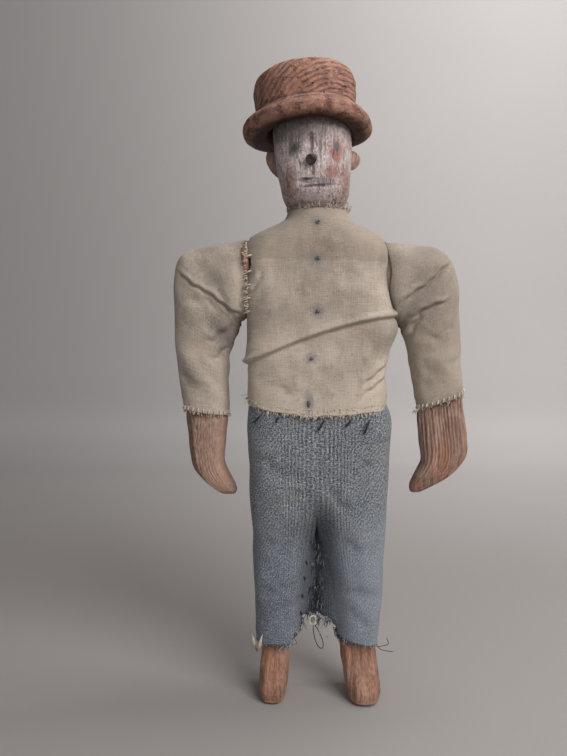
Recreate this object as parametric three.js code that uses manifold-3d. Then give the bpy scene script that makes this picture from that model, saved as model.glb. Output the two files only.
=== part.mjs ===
// A folk-art wooden doll of a man: hat, head, arms and legs carved from separate sticks of wood,
// pinned to a wooden trunk and dressed in a linen shirt and twill trousers.
// Millimetres, +Z up. The doll faces -Y, so its own left side is at +X.
import * as THREE from "three";
import { mergeVertices } from "three/addons/utils/BufferGeometryUtils.js";
import Module from "manifold-3d";

const wasm = await Module();
wasm.setup();

// Fits and cloth
const SEAT_GAP = 0.3; // between pieces that lie against each other
const TURN_GAP = 0.4; // round a piece that turns
const LINEN = 1.0; // shirt cloth
const TWILL = 1.2; // trouser cloth

// Legs and feet
const LEG_LENGTH = 103; // sole to hip nail
const LEG_WIDTH = 14;
const LEG_DEPTH = 15;
const KNEE_DEPTH = 14;
const ANKLE_DEPTH = 14;
const RIGHT_ANKLE_WIDTH = 14.6;
const LEFT_ANKLE_WIDTH = 16.2;
const ANKLE_SPREAD = 40; // between the middles of the ankles
const ANKLE_HEIGHT = 20;
const INSTEP_HEIGHT = 11;
const TOE_REACH = 16; // toes ahead of the leg's middle
const HEEL_REACH = 9;
const SOLE_ROUNDING = 1;
const LEG_SQUARENESS = 3; // of the stick's level section at the hip
const FOOT_SQUARENESS = 2.4;
const HIP_SWING_FORWARD = 35; // degrees
const HIP_SWING_BACK = 20; // degrees

// Trunk
const TRUNK_LENGTH = 107; // its lower face to the foot of the neck
const HIP_WIDTH = 61.6;
const HIP_DEPTH = 33;
const WAIST_WIDTH = 60.8;
const WAIST_DEPTH = 35;
const CHEST_WIDTH = 62.4;
const CHEST_DEPTH = 37;
const SHOULDER_FALL = 9.5; // foot of the neck down to the shoulder line
const TRUNK_SQUARENESS = 4.2; // of its level section below the shoulders
const SHOULDER_WIDTH = 60;
const SHOULDER_DEPTH = 33;
const SHOULDER_SQUARENESS = 3;
const TONGUE_WIDTH = 10; // between the thighs
const TONGUE_DEPTH = 11;

// Pivots and pegs
const NAIL_DIAMETER = 3;
const NAIL_HEAD_DIAMETER = 6.4;
const NAIL_HEAD_THICKNESS = 1.2;
const ARM_NAIL_GRIP = 12; // length held in the end of the bar
const HIP_NAIL_GRIP = 4; // length held in the tongue
const SHOULDER_BAR_DIAMETER = 12;
const SHOULDER_BAR_DROP = 16; // below the shoulder line
const DOWEL_DIAMETER = 9;
const DOWEL_IN_TRUNK = 16;
const DOWEL_IN_HEAD = 14;
const HAT_PEG_DIAMETER = 5;
const HAT_PEG_IN_HEAD = 8;
const HAT_PEG_IN_HAT = 7;

// Head
const NECK_DIAMETER = 24.6;
const NECK_LENGTH = 6;
const HEAD_HEIGHT = 57; // foot of the neck to the crown of the head
const HEAD_WIDTH = 35.2;
const FACE_DEPTH = 18.3; // face ahead of the neck's middle
const NAPE_DEPTH = 18.8;
const JAW_WIDTH = 29.5;
const HEAD_SQUARENESS = 2.3; // of its level section
const HEAD_LEAN = 4; // degrees, towards the doll's right
const EAR_REACH = 5.2;
const EAR_HEIGHT = 10;
const EAR_THICKNESS = 3.4;
const EAR_TENON_DIAMETER = 2.6;
const EAR_TENON_LENGTH = 4;
const EAR_LEVEL = 28; // above the foot of the neck
const NOSE_DIAMETER = 4.6;
const NOSE_LEVEL = 25;
const NOSE_STANDS_OUT = 1.4;
const NOSE_DEPTH = 6;

// Hat
const HAT_WALL = 5; // crown outside the widest of the head
const CROWN_HEIGHT = 15.5; // above the foot of the crown
const CROWN_ROUNDING = 6;
const CROWN_WAIST = 0.6; // the crown's foot and shoulder drawn in
const CROWN_SWELL = 1; // the crown's wall swollen out
const BRIM_REACH = 6.6; // beyond the crown
const BRIM_DROP = 14.5; // foot of the crown down to the brim's lower edge
const BRIM_THICKNESS = 8;
const BRIM_SHOULDER_SHARE = 0.8; // share of the thickness where the brim turns up to the crown
const HAT_HOLLOW = 8; // foot of the crown down to the hollow's ceiling
const HAT_SEAT = 53; // foot of the crown above the foot of the neck
const HAT_SHIFT = 2; // towards the doll's right
const HAT_LEAN = 1; // degrees beyond the head's own lean
const HAT_TIP = 3; // degrees, front upwards
const HAT_OVAL_RATIO = 1.04; // front to back against side to side

// Arms
const RIGHT_ARM_REACH = 54.2; // trunk's middle to the arm's middle at the nail
const LEFT_ARM_REACH = 51.4;
const ARM_WIDTH = 17;
const ARM_DEPTH = 15;
const ARM_TOP = 9; // above the nail
const ARM_SQUARENESS = 2.6; // of its level section
const CUFF_ARM_WIDTH = 18.8;
const RIGHT_WRIST_WIDTH = 16;
const LEFT_WRIST_WIDTH = 18.4;
const WRIST_DEPTH = 13;
const WRIST_DROP = 84; // below the nail
const HAND_LENGTH = 17.5;
const HAND_TURN = 13; // fingertip inwards from the arm's middle
const HAND_DEPTH = 12;
const RIGHT_ARM_LEAN = 0; // degrees, outwards
const LEFT_ARM_LEAN = 6; // degrees, outwards

// Shirt
const SHIRT_LENGTH = 93; // collar's top edge down to the hem
const COLLAR_HEIGHT = 5;
const TUCK = 4; // trouser waist that runs up under the shirt
const TUCK_EASE = 6; // height over which the shirt falls back to the trunk
const ARMHOLE_HEIGHT = 30;
const ARMHOLE_DEPTH = 25;
const ARMHOLE_INSET = 10; // from the side of the chest in to where the armhole's cut ends
const SLEEVE_TOP = 13.5; // above the nail
const SLEEVE_UNDERARM = 20; // armpit below the nail
const ARMPIT_DROP = 4; // from the armhole's foot down to where the sleeve hangs
const SLEEVE_DEPTH = 27;
const SLEEVE_EASE = 3.8; // between the upper arm and the cloth, on the outer side
const SLEEVE_SLACK = 4; // the same on the inner side
const SLEEVE_FULLNESS = 2.2; // squareness of the sleeve's section above the cuff
const SLEEVE_TAPER = 1.3; // how late the hanging sleeve narrows to the cuff
const RIGHT_SLEEVE_SQUARENESS = 4.6; // of the hard corner at the top of the arm
const LEFT_SLEEVE_SQUARENESS = 4.4;
const RIGHT_CUFF_DROP = 63; // below the nail
const LEFT_CUFF_DROP = 58;
const FOLD_DROP = 26; // the tuck across the chest, below the nails' level
const FOLD_SLOPE = 0.3; // rise across the width
const FOLD_RISE = 1.8;
const FOLD_UPPER = 6;
const FOLD_LOWER = 2;
const FOLD_FADE = 0.2; // share of the shirt's depth where the tuck begins to rise
const FOLD_FULL = 0.9; // and where it has its full rise
const CREASE_RISE = 0.5; // of the creases in the bend of a sleeve
const KNOT_DIAMETER = 2.4;
const KNOT_THICKNESS = 1.4;
const KNOT_DROPS = [6.5, 22.5, 45.5, 67, 87.5]; // below the collar's top edge
const KNOT_DRIFT = 3.6; // of the lowest knot towards the doll's right

// Trousers
const HEM_HEIGHT = 27;
const HEM_WIDTH = 20.5;
const HEM_DEPTH = 23;
const KNEE_HEIGHT = 64;
const TROUSER_KNEE_WIDTH = 26;
const TROUSER_KNEE_DEPTH = 28;
const TROUSER_SQUARENESS = 2.6; // of each leg's level section
const THIGH_DROP = 12; // widest of the thigh below the hip nail
const CROTCH_GAP = 0.8;
const THIGH_GAP = 0.9; // between the thighs and the seat that they turn in

// Facets
const ROUND_SIDES = 16;
const RING_POINTS = 24;
const CLOTH_POINTS = 28;
const SLEEVE_POINTS = 20;
const HAT_SIDES = 32;
const ROUND = 2; // power of a section that is a plain ellipse

// Colours and finishes
const finish = (color, roughness, metalness = 0) =>
  new THREE.MeshStandardMaterial({ color, roughness, metalness });
const BARE_WOOD = finish(0x8f6a54, 0.6);
const HAT_WOOD = finish(0x875c48, 0.55);
const PAINTED_WOOD = finish(0xa08d86, 0.7);
const IRON = finish(0x3c3835, 0.5, 0.9);
const LINEN_CLOTH = finish(0xa79a8a, 0.95);
const TWILL_CLOTH = finish(0x6a6f76, 0.95);
const KNOT_THREAD = finish(0x3b4048, 0.9);

const radians = THREE.MathUtils.degToRad;
const smoothstep = THREE.MathUtils.smoothstep;
const point = (x, y, z) => new THREE.Vector3(x, y, z);
const UP = point(0, 1, 0);

// Evenly spaced numbers from one value to another.
function steps(from, to, count) {
  return Array.from({ length: count }, (_, i) => from + ((to - from) * i) / (count - 1));
}

// Every measure of a list of stations at one place along it, as a smooth cubic through them.
function between(stations, along, place) {
  const last = stations.length - 1;
  const t = THREE.MathUtils.clamp(place, stations[0][along], stations[last][along]);
  let i = 0;
  while (i < last - 1 && t > stations[i + 1][along]) i++;
  const a = stations[i];
  const b = stations[i + 1];
  const before = stations[Math.max(i - 1, 0)];
  const after = stations[Math.min(i + 2, last)];
  const span = b[along] - a[along];
  const f = (t - a[along]) / span;
  const measures = Object.keys(a).map((key) => {
    const slopeA = ((b[key] - before[key]) / (b[along] - before[along])) * span;
    const slopeB = ((after[key] - a[key]) / (after[along] - a[along])) * span;
    const value =
      a[key] * (1 + 2 * f) * (1 - f) ** 2 +
      slopeA * f * (1 - f) ** 2 +
      b[key] * f * f * (3 - 2 * f) +
      slopeB * f * f * (f - 1);
    return [key, value];
  });
  return Object.fromEntries(measures);
}

// A level ring of points: a superellipse about x, y with its own reach to the front and to the back.
function levelRing({ x = 0, y = 0, z, width, front, back = front, power = ROUND }, count = RING_POINTS) {
  return Array.from({ length: count }, (_, i) => {
    const angle = (2 * Math.PI * i) / count;
    const across = Math.cos(angle);
    const along = Math.sin(angle);
    const squared = (value) => Math.sign(value) * Math.abs(value) ** (2 / power);
    return point(x + width * squared(across), y + (along < 0 ? front : back) * squared(along), z);
  });
}

// A closed surface through rings of points, with a flat fan at each end and its faces outwards.
function loft(rings) {
  const count = rings[0].length;
  const ends = [rings[0], rings[rings.length - 1]];
  const middles = ends.map((ring) =>
    ring.reduce((sum, p) => sum.add(p), point(0, 0, 0)).divideScalar(count),
  );
  const points = [...rings.flat(), ...middles];
  const firstMiddle = points.length - 2;
  const lastRing = (rings.length - 1) * count;
  const triangles = [];
  for (let i = 0; i < count; i++) {
    const next = (i + 1) % count;
    for (let base = 0; base < lastRing; base += count) {
      const above = base + count;
      triangles.push([base + i, base + next, above + next], [base + i, above + next, above + i]);
    }
    triangles.push([firstMiddle, next, i], [firstMiddle + 1, lastRing + i, lastRing + next]);
  }
  const volume = triangles.reduce((sum, [a, b, c]) => {
    const normal = point(0, 0, 0).crossVectors(points[b], points[c]);
    return sum + points[a].dot(normal);
  }, 0);
  const facing = volume < 0 ? triangles.map(([a, b, c]) => [a, c, b]) : triangles;
  const geometry = new THREE.BufferGeometry().setFromPoints(points);
  return geometry.setIndex(facing.flat());
}

// A geometry as a solid that can be joined and cut, and a solid as a geometry.
function solid(geometry) {
  const bare = geometry.clone();
  bare.deleteAttribute("normal");
  bare.deleteAttribute("uv");
  const merged = mergeVertices(bare, 1e-4);
  const mesh = new wasm.Mesh({
    numProp: 3,
    vertProperties: merged.attributes.position.array,
    triVerts: new Uint32Array(merged.index.array),
  });
  return new wasm.Manifold(mesh);
}

function geometryOf(made) {
  const mesh = made.getMesh();
  const geometry = new THREE.BufferGeometry();
  geometry.setAttribute("position", new THREE.BufferAttribute(mesh.vertProperties, 3));
  geometry.setIndex(new THREE.BufferAttribute(mesh.triVerts, 1));
  geometry.computeVertexNormals();
  return geometry;
}

const cut = (body, ...cutters) => cutters.reduce((left, cutter) => left.subtract(cutter), body);

// A round rod between two points.
function rod(from, to, diameter) {
  const axis = to.clone().sub(from);
  const geometry = new THREE.CylinderGeometry(diameter / 2, diameter / 2, axis.length(), ROUND_SIDES);
  geometry.applyQuaternion(new THREE.Quaternion().setFromUnitVectors(UP, axis.clone().normalize()));
  const middle = from.clone().add(to).divideScalar(2);
  return solid(geometry.translate(...middle.toArray()));
}

// A block between two corners.
function block(low, high) {
  const size = high.clone().sub(low);
  const middle = low.clone().add(high).divideScalar(2);
  return solid(new THREE.BoxGeometry(...size.toArray()).translate(...middle.toArray()));
}

const mesh = (name, geometry, material) => {
  const made = new THREE.Mesh(geometry, material);
  made.name = name;
  return made;
};

// Levels and places that the pieces share
const hipLevel = LEG_LENGTH;
const hipX = TONGUE_WIDTH / 2 + TURN_GAP + LEG_WIDTH / 2;
const thighRadius = HIP_DEPTH / 2 + SEAT_GAP - THIGH_GAP;
const trunkBottom = hipLevel + thighRadius + TURN_GAP;
const trunkTop = trunkBottom + TRUNK_LENGTH;
const shoulderLine = trunkTop - SHOULDER_FALL;
const nailLevel = shoulderLine - SHOULDER_BAR_DROP;
const neckFoot = trunkTop + SEAT_GAP;
const collarTop = trunkTop + COLLAR_HEIGHT;
const shirtHem = collarTop - SHIRT_LENGTH;
const neckRadius = NECK_DIAMETER / 2;
const collarRadius = neckRadius + TURN_GAP;
const armholeX = CHEST_WIDTH / 2 + SEAT_GAP + LINEN + SEAT_GAP;
const wholeWidth = 4 * RIGHT_ARM_REACH; // longer than the doll is wide, for cuts that go right across

// The two sides of the doll: out is the direction away from its middle.
const SIDES = [
  {
    name: "left",
    out: 1,
    ankleWidth: LEFT_ANKLE_WIDTH,
    wristWidth: LEFT_WRIST_WIDTH,
    armReach: LEFT_ARM_REACH,
    armLean: LEFT_ARM_LEAN,
    cuffDrop: LEFT_CUFF_DROP,
    squareness: LEFT_SLEEVE_SQUARENESS,
  },
  {
    name: "right",
    out: -1,
    ankleWidth: RIGHT_ANKLE_WIDTH,
    wristWidth: RIGHT_WRIST_WIDTH,
    armReach: RIGHT_ARM_REACH,
    armLean: RIGHT_ARM_LEAN,
    cuffDrop: RIGHT_CUFF_DROP,
    squareness: RIGHT_SLEEVE_SQUARENESS,
  },
];

// The head's own frame stands on the foot of the neck and leans with the drilled dowel hole.
const headFrame = new THREE.Matrix4()
  .makeTranslation(0, 0, neckFoot)
  .multiply(new THREE.Matrix4().makeRotationY(-radians(HEAD_LEAN)));
const inHeadFrame = (x, y, z) => point(x, y, z).applyMatrix4(headFrame);

// Trunk: half width and half depth at each height, square at the hips and round at the neck.
const trunkStations = [
  { z: trunkBottom, width: HIP_WIDTH / 2, front: HIP_DEPTH / 2, power: TRUNK_SQUARENESS },
  { z: shirtHem + TUCK, width: WAIST_WIDTH / 2, front: WAIST_DEPTH / 2, power: TRUNK_SQUARENESS },
  { z: nailLevel - FOLD_DROP, width: CHEST_WIDTH / 2, front: CHEST_DEPTH / 2, power: TRUNK_SQUARENESS },
  { z: nailLevel, width: CHEST_WIDTH / 2, front: CHEST_DEPTH / 2, power: TRUNK_SQUARENESS },
  { z: shoulderLine, width: SHOULDER_WIDTH / 2, front: SHOULDER_DEPTH / 2, power: SHOULDER_SQUARENESS },
  {
    z: shoulderLine + SHOULDER_FALL / 2,
    width: (SHOULDER_WIDTH + NECK_DIAMETER) / 4,
    front: (SHOULDER_DEPTH + NECK_DIAMETER) / 4,
    power: (SHOULDER_SQUARENESS + ROUND) / 2,
  },
  { z: trunkTop, width: collarRadius, front: collarRadius, power: ROUND },
];

function trunkGeometry() {
  const levels = [
    ...steps(trunkBottom, nailLevel, 6),
    ...steps(shoulderLine, trunkTop, 5),
  ];
  const body = solid(loft(levels.map((z) => levelRing(between(trunkStations, "z", z), CLOTH_POINTS))));
  const halfTongue = TONGUE_WIDTH / 2;
  const tongue = block(
    point(-halfTongue, -TONGUE_DEPTH / 2, hipLevel),
    point(halfTongue, TONGUE_DEPTH / 2, trunkBottom + SEAT_GAP),
  );
  const tongueEnd = rod(point(-halfTongue, 0, hipLevel), point(halfTongue, 0, hipLevel), TONGUE_DEPTH);
  const barHole = rod(
    point(-wholeWidth, 0, nailLevel),
    point(wholeWidth, 0, nailLevel),
    SHOULDER_BAR_DIAMETER + 2 * SEAT_GAP,
  );
  const dowelHole = rod(
    inHeadFrame(0, 0, -DOWEL_IN_TRUNK - SEAT_GAP),
    inHeadFrame(0, 0, DOWEL_IN_HEAD),
    DOWEL_DIAMETER + 2 * TURN_GAP,
  );
  const neckSeat = rod(inHeadFrame(0, 0, -SEAT_GAP), inHeadFrame(0, 0, COLLAR_HEIGHT), 4 * collarRadius);
  const nailHoles = SIDES.map(({ out }) =>
    rod(
      point(out * wholeWidth, 0, hipLevel),
      point(out * (halfTongue - HIP_NAIL_GRIP - SEAT_GAP), 0, hipLevel),
      NAIL_DIAMETER + 2 * SEAT_GAP,
    ),
  );
  return geometryOf(cut(body.add(tongue).add(tongueEnd), barHole, dowelHole, neckSeat, ...nailHoles));
}

// A nail along X with its point towards the doll's middle.
function nail(pointX, headX, level, out) {
  const shank = rod(point(out * pointX, 0, level), point(out * headX, 0, level), NAIL_DIAMETER);
  const head = rod(
    point(out * headX, 0, level),
    point(out * (headX + NAIL_HEAD_THICKNESS), 0, level),
    NAIL_HEAD_DIAMETER,
  );
  return geometryOf(shank.add(head));
}

const nailHole = (level, out) =>
  rod(point(0, 0, level), point(out * wholeWidth, 0, level), NAIL_DIAMETER + 2 * TURN_GAP);

// Leg: a stick from a round end at the hip nail to a foot with a flat sole.
function legStations({ out, ankleWidth }) {
  const ankleX = (out * ANKLE_SPREAD) / 2;
  const half = ankleWidth / 2;
  const foot = {
    x: ankleX,
    y: 0,
    width: half,
    front: TOE_REACH,
    back: HEEL_REACH,
    power: FOOT_SQUARENESS,
  };
  return [
    {
      ...foot,
      z: 0,
      width: half - SOLE_ROUNDING,
      front: TOE_REACH - SOLE_ROUNDING,
      back: HEEL_REACH - SOLE_ROUNDING,
    },
    { ...foot, z: 1.5 * SOLE_ROUNDING },
    { ...foot, z: INSTEP_HEIGHT / 2, front: TOE_REACH - SOLE_ROUNDING },
    { ...foot, z: INSTEP_HEIGHT, front: (TOE_REACH + ANKLE_DEPTH / 2) / 2, back: HEEL_REACH - SOLE_ROUNDING },
    { ...foot, z: ANKLE_HEIGHT, front: ANKLE_DEPTH / 2, back: ANKLE_DEPTH / 2 },
    {
      ...foot,
      x: (ankleX + out * hipX) / 2,
      z: KNEE_HEIGHT,
      width: (half + LEG_WIDTH / 2) / 2,
      front: KNEE_DEPTH / 2,
      back: KNEE_DEPTH / 2,
    },
    {
      x: out * hipX,
      y: 0,
      z: hipLevel,
      width: LEG_WIDTH / 2,
      front: LEG_DEPTH / 2,
      back: LEG_DEPTH / 2,
      power: LEG_SQUARENESS,
    },
  ];
}

// Rings that close a limb's top in a half round about an axis along X, almost up to its crown.
function roundTop(base, radius) {
  return steps(20, 80, 4).map((degrees) => {
    const reach = radius * Math.cos(radians(degrees));
    return levelRing({
      ...base,
      z: base.z + radius * Math.sin(radians(degrees)),
      front: reach,
      back: reach,
    });
  });
}

function legGeometry(side) {
  const stations = legStations(side);
  const hip = stations[stations.length - 1];
  const foot = steps(INSTEP_HEIGHT / 2, ANKLE_HEIGHT, 4);
  const shin = steps(ANKLE_HEIGHT, hipLevel, 5).slice(1);
  const levels = [0, 1.5 * SOLE_ROUNDING, ...foot, ...shin];
  const rings = levels.map((z) => levelRing(between(stations, "z", z)));
  const stick = solid(loft([...rings, ...roundTop(hip, LEG_DEPTH / 2)]));
  return geometryOf(cut(stick, nailHole(hipLevel, side.out)));
}

// Trouser leg: from the hem to a half round that turns inside the seat.
const seatInside = HIP_WIDTH / 2 + SEAT_GAP;
function trouserLegStations({ out, ankleWidth }, inset) {
  const hemOut = ANKLE_SPREAD / 2 + ankleWidth / 2 + SEAT_GAP + TWILL;
  const span = (outer, inner, rest) => ({
    x: (out * (outer + inner)) / 2,
    y: 0,
    width: (outer - inner) / 2 - inset,
    power: TROUSER_SQUARENESS,
    ...rest,
  });
  const thighOut = seatInside + TWILL;
  const kneeOut = (hemOut + thighOut) / 2;
  const depth = (value) => ({ front: value / 2 - inset, back: value / 2 - inset });
  return [
    span(hemOut, hemOut - HEM_WIDTH, { z: HEM_HEIGHT, ...depth(HEM_DEPTH) }),
    span(kneeOut, kneeOut - TROUSER_KNEE_WIDTH, { z: KNEE_HEIGHT, ...depth(TROUSER_KNEE_DEPTH) }),
    span(thighOut, CROTCH_GAP / 2, { z: hipLevel - THIGH_DROP, ...depth(2 * thighRadius) }),
    span(seatInside - THIGH_GAP, CROTCH_GAP / 2, { z: hipLevel, ...depth(2 * thighRadius) }),
  ];
}

function trouserLegGeometry(side) {
  const skin = (inset, lowest) => {
    const stations = trouserLegStations(side, inset);
    const hip = stations[stations.length - 1];
    const levels = [lowest, ...steps(HEM_HEIGHT + TWILL, hipLevel, 7)];
    const rings = levels.map((z) => levelRing({ ...between(stations, "z", z), z }));
    return solid(loft([...rings, ...roundTop(hip, thighRadius - inset)]));
  };
  const tongueReach = TONGUE_DEPTH / 2 + TURN_GAP;
  const tongueSide = TONGUE_WIDTH / 2 + TURN_GAP;
  const tongueEnd = rod(point(-tongueSide, 0, hipLevel), point(tongueSide, 0, hipLevel), 2 * tongueReach);
  const tongueSweep = steps(-HIP_SWING_BACK, HIP_SWING_FORWARD, 7).map((degrees) =>
    block(point(-tongueSide, -tongueReach, 0), point(tongueSide, tongueReach, trunkBottom - hipLevel))
      .rotate([degrees, 0, 0])
      .translate([0, 0, hipLevel]),
  );
  const shell = cut(skin(0, HEM_HEIGHT), skin(TWILL, HEM_HEIGHT - TWILL));
  return geometryOf(cut(shell, tongueEnd, ...tongueSweep));
}

// Trouser seat: a band of twill round the hips, cut away below so that the thighs can swing.
function trouserSeatGeometry() {
  const seatTop = shirtHem + TUCK;
  const lip = (degrees) => hipLevel + thighRadius * Math.sin(radians(degrees)) + TURN_GAP;
  const frontLip = lip(HIP_SWING_FORWARD);
  const backLip = lip(HIP_SWING_BACK);
  const skin = (cover, lowest, highest) =>
    solid(
      loft(
        steps(lowest, highest, 7).map((z) => {
          const section = between(trunkStations, "z", z);
          const ring = { ...section, z, width: section.width + cover, front: section.front + cover };
          return levelRing(ring, CLOTH_POINTS);
        }),
      ),
    );
  const outside = skin(SEAT_GAP + TWILL, backLip, seatTop);
  const inside = skin(SEAT_GAP, backLip - TWILL, seatTop + TWILL);
  const frontCut = block(
    point(-wholeWidth, -wholeWidth, backLip - TWILL),
    point(wholeWidth, 0, frontLip),
  );
  return geometryOf(cut(outside, inside, frontCut));
}

// Shirt: the trunk's section grown by the gap and the cloth, wider where it falls over the trousers.
const shirtStations = [
  ...trunkStations,
  { z: collarTop, width: collarRadius - SEAT_GAP, front: collarRadius - SEAT_GAP, power: ROUND },
];

function shirtSection(z, layers) {
  const overTrousers = 1 - smoothstep(z, shirtHem + TUCK + SEAT_GAP, shirtHem + TUCK + TUCK_EASE);
  const grow = SEAT_GAP + layers * LINEN + overTrousers * (TWILL + SEAT_GAP);
  const rise = grow * smoothstep(z, nailLevel, shoulderLine);
  const section = between(shirtStations, "z", z - rise);
  return { z, width: section.width + grow, front: section.front + grow, power: section.power };
}

// The tuck across the chest: a slanting ridge, gentle above its line and steep below.
function foldRise(x, z) {
  const above = z - (nailLevel - FOLD_DROP + FOLD_SLOPE * x);
  const spread = above > 0 ? FOLD_UPPER : FOLD_LOWER;
  return FOLD_RISE * Math.exp(-((above / spread) ** 2));
}

function shirtSolid() {
  const foldReach = (FOLD_SLOPE * CHEST_WIDTH) / 2;
  const foldLevel = nailLevel - FOLD_DROP;
  const outerLevels = [
    ...steps(shirtHem, foldLevel - foldReach - 2 * FOLD_LOWER, 5),
    ...steps(foldLevel - foldReach, foldLevel + foldReach, 9),
    ...steps(foldLevel + foldReach + 2 * FOLD_LOWER, shoulderLine, 4),
    ...steps(shoulderLine + LINEN, collarTop, 6),
  ];
  const outside = outerLevels.map((z) => {
    const section = shirtSection(z, 1);
    return levelRing(section, CLOTH_POINTS).map((p) => {
      const frontness = smoothstep(-p.y / section.front, FOLD_FADE, FOLD_FULL);
      return p.setY(p.y - foldRise(p.x, z) * frontness);
    });
  });
  const innerLevels = [
    shirtHem - LINEN,
    ...steps(shirtHem + TUCK + SEAT_GAP, shirtHem + TUCK + TUCK_EASE, 3),
    foldLevel,
    nailLevel,
    ...steps(shoulderLine, collarTop + LINEN, 6),
  ];
  const inside = innerLevels.map((z) => levelRing(shirtSection(z, 0), CLOTH_POINTS));
  const armhole = rod(point(-wholeWidth, 0, 0), point(wholeWidth, 0, 0), 1)
    .scale([1, ARMHOLE_DEPTH, ARMHOLE_HEIGHT])
    .translate([0, 0, nailLevel + (SLEEVE_TOP - SLEEVE_UNDERARM) / 2]);
  const trunkMiddle = block(
    point(ARMHOLE_INSET - CHEST_WIDTH / 2, -wholeWidth, 0),
    point(CHEST_WIDTH / 2 - ARMHOLE_INSET, wholeWidth, 2 * trunkTop),
  );
  const neckRoom = rod(
    inHeadFrame(0, 0, -NECK_LENGTH),
    inHeadFrame(0, 0, 2 * COLLAR_HEIGHT),
    2 * collarRadius,
  );
  return cut(solid(loft(outside)), solid(loft(inside)), armhole.subtract(trunkMiddle), neckRoom);
}

// Shirt front and back meet at the side and shoulder seams.
function shirtPanelGeometry(shirt, facing) {
  const seam = SEAT_GAP / 2;
  const keep = block(
    point(-wholeWidth, facing < 0 ? -wholeWidth : seam, 0),
    point(wholeWidth, facing < 0 ? -seam : wholeWidth, 2 * trunkTop),
  );
  return geometryOf(shirt.intersect(keep));
}

// Arm: a stick that hangs from the shoulder nail, with a mitten hand turned in at its end.
// The hand's sections are shares of its own length, turn and thickness.
function armStations({ wristWidth }) {
  const section = (drop, inwards, width, depth) => ({
    z: -drop,
    x: -inwards,
    width: width / 2,
    front: depth / 2,
  });
  const fingertips = WRIST_DROP + HAND_LENGTH;
  return [
    section(fingertips, HAND_TURN, 0.2 * wristWidth, 0.5 * HAND_DEPTH),
    section(fingertips - 0.1 * HAND_LENGTH, 0.72 * HAND_TURN, 0.68 * wristWidth, 0.8 * HAND_DEPTH),
    section(fingertips - 0.35 * HAND_LENGTH, 0.34 * HAND_TURN, wristWidth, HAND_DEPTH),
    section(fingertips - 0.65 * HAND_LENGTH, 0.12 * HAND_TURN, 1.03 * wristWidth, HAND_DEPTH),
    section(WRIST_DROP, 0, wristWidth, WRIST_DEPTH),
    section((WRIST_DROP + RIGHT_CUFF_DROP) / 2, 0, (wristWidth + CUFF_ARM_WIDTH) / 2, ARM_DEPTH),
    section(RIGHT_CUFF_DROP, 0, CUFF_ARM_WIDTH, ARM_DEPTH),
    section(RIGHT_CUFF_DROP / 2, 0, (ARM_WIDTH + CUFF_ARM_WIDTH) / 2, ARM_DEPTH),
    section(0, 0, ARM_WIDTH, ARM_DEPTH),
  ];
}

// From the arm's own frame, x outwards and z up its length, to the doll's.
function armFrame({ out, armReach, armLean }) {
  const turned = new THREE.Matrix4().makeRotationY(-radians(armLean));
  return new THREE.Matrix4()
    .makeScale(out, 1, 1)
    .multiply(new THREE.Matrix4().makeTranslation(armReach, 0, nailLevel))
    .multiply(turned);
}

function armRings(side) {
  const stations = armStations(side);
  const top = stations[stations.length - 1];
  const levels = [
    ...stations.slice(0, 5).map((station) => station.z),
    ...steps(-WRIST_DROP, -RIGHT_CUFF_DROP, 3).slice(1),
    -RIGHT_CUFF_DROP / 2,
    0,
  ];
  const stick = levels.map((z) => levelRing({ ...between(stations, "z", z), power: ARM_SQUARENESS }));
  const end = steps(30, 80, 3).map((degrees) => {
    const inwards = Math.cos(radians(degrees));
    return levelRing({
      ...top,
      z: ARM_TOP * Math.sin(radians(degrees)),
      width: (Math.sqrt(inwards) * ARM_WIDTH) / 2,
      front: (inwards * ARM_DEPTH) / 2,
      power: ARM_SQUARENESS,
    });
  });
  const frame = armFrame(side);
  return [...stick, ...end].map((ring) => ring.map((p) => p.applyMatrix4(frame)));
}

function armGeometry(side) {
  return geometryOf(cut(solid(loft(armRings(side))), nailHole(nailLevel, side.out)));
}

// The bar's end and the nail's head lie flat beside the faces of the leaning arm.
function armFaces({ armReach, armLean }) {
  const lean = radians(armLean);
  const half = ARM_WIDTH / 2 / Math.cos(lean) + TURN_GAP;
  return {
    inner: armReach - half - (Math.tan(lean) * SHOULDER_BAR_DIAMETER) / 2,
    outer: armReach + half + (Math.tan(lean) * NAIL_HEAD_DIAMETER) / 2,
  };
}

function shoulderBarGeometry() {
  const [left, right] = SIDES.map((side) => armFaces(side).inner);
  const bar = rod(point(-right, 0, nailLevel), point(left, 0, nailLevel), SHOULDER_BAR_DIAMETER);
  const holes = SIDES.map((side) =>
    rod(
      point(side.out * (armFaces(side).inner - ARM_NAIL_GRIP - SEAT_GAP), 0, nailLevel),
      point(side.out * wholeWidth, 0, nailLevel),
      NAIL_DIAMETER + 2 * SEAT_GAP,
    ),
  );
  return geometryOf(cut(bar, ...holes));
}

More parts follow.
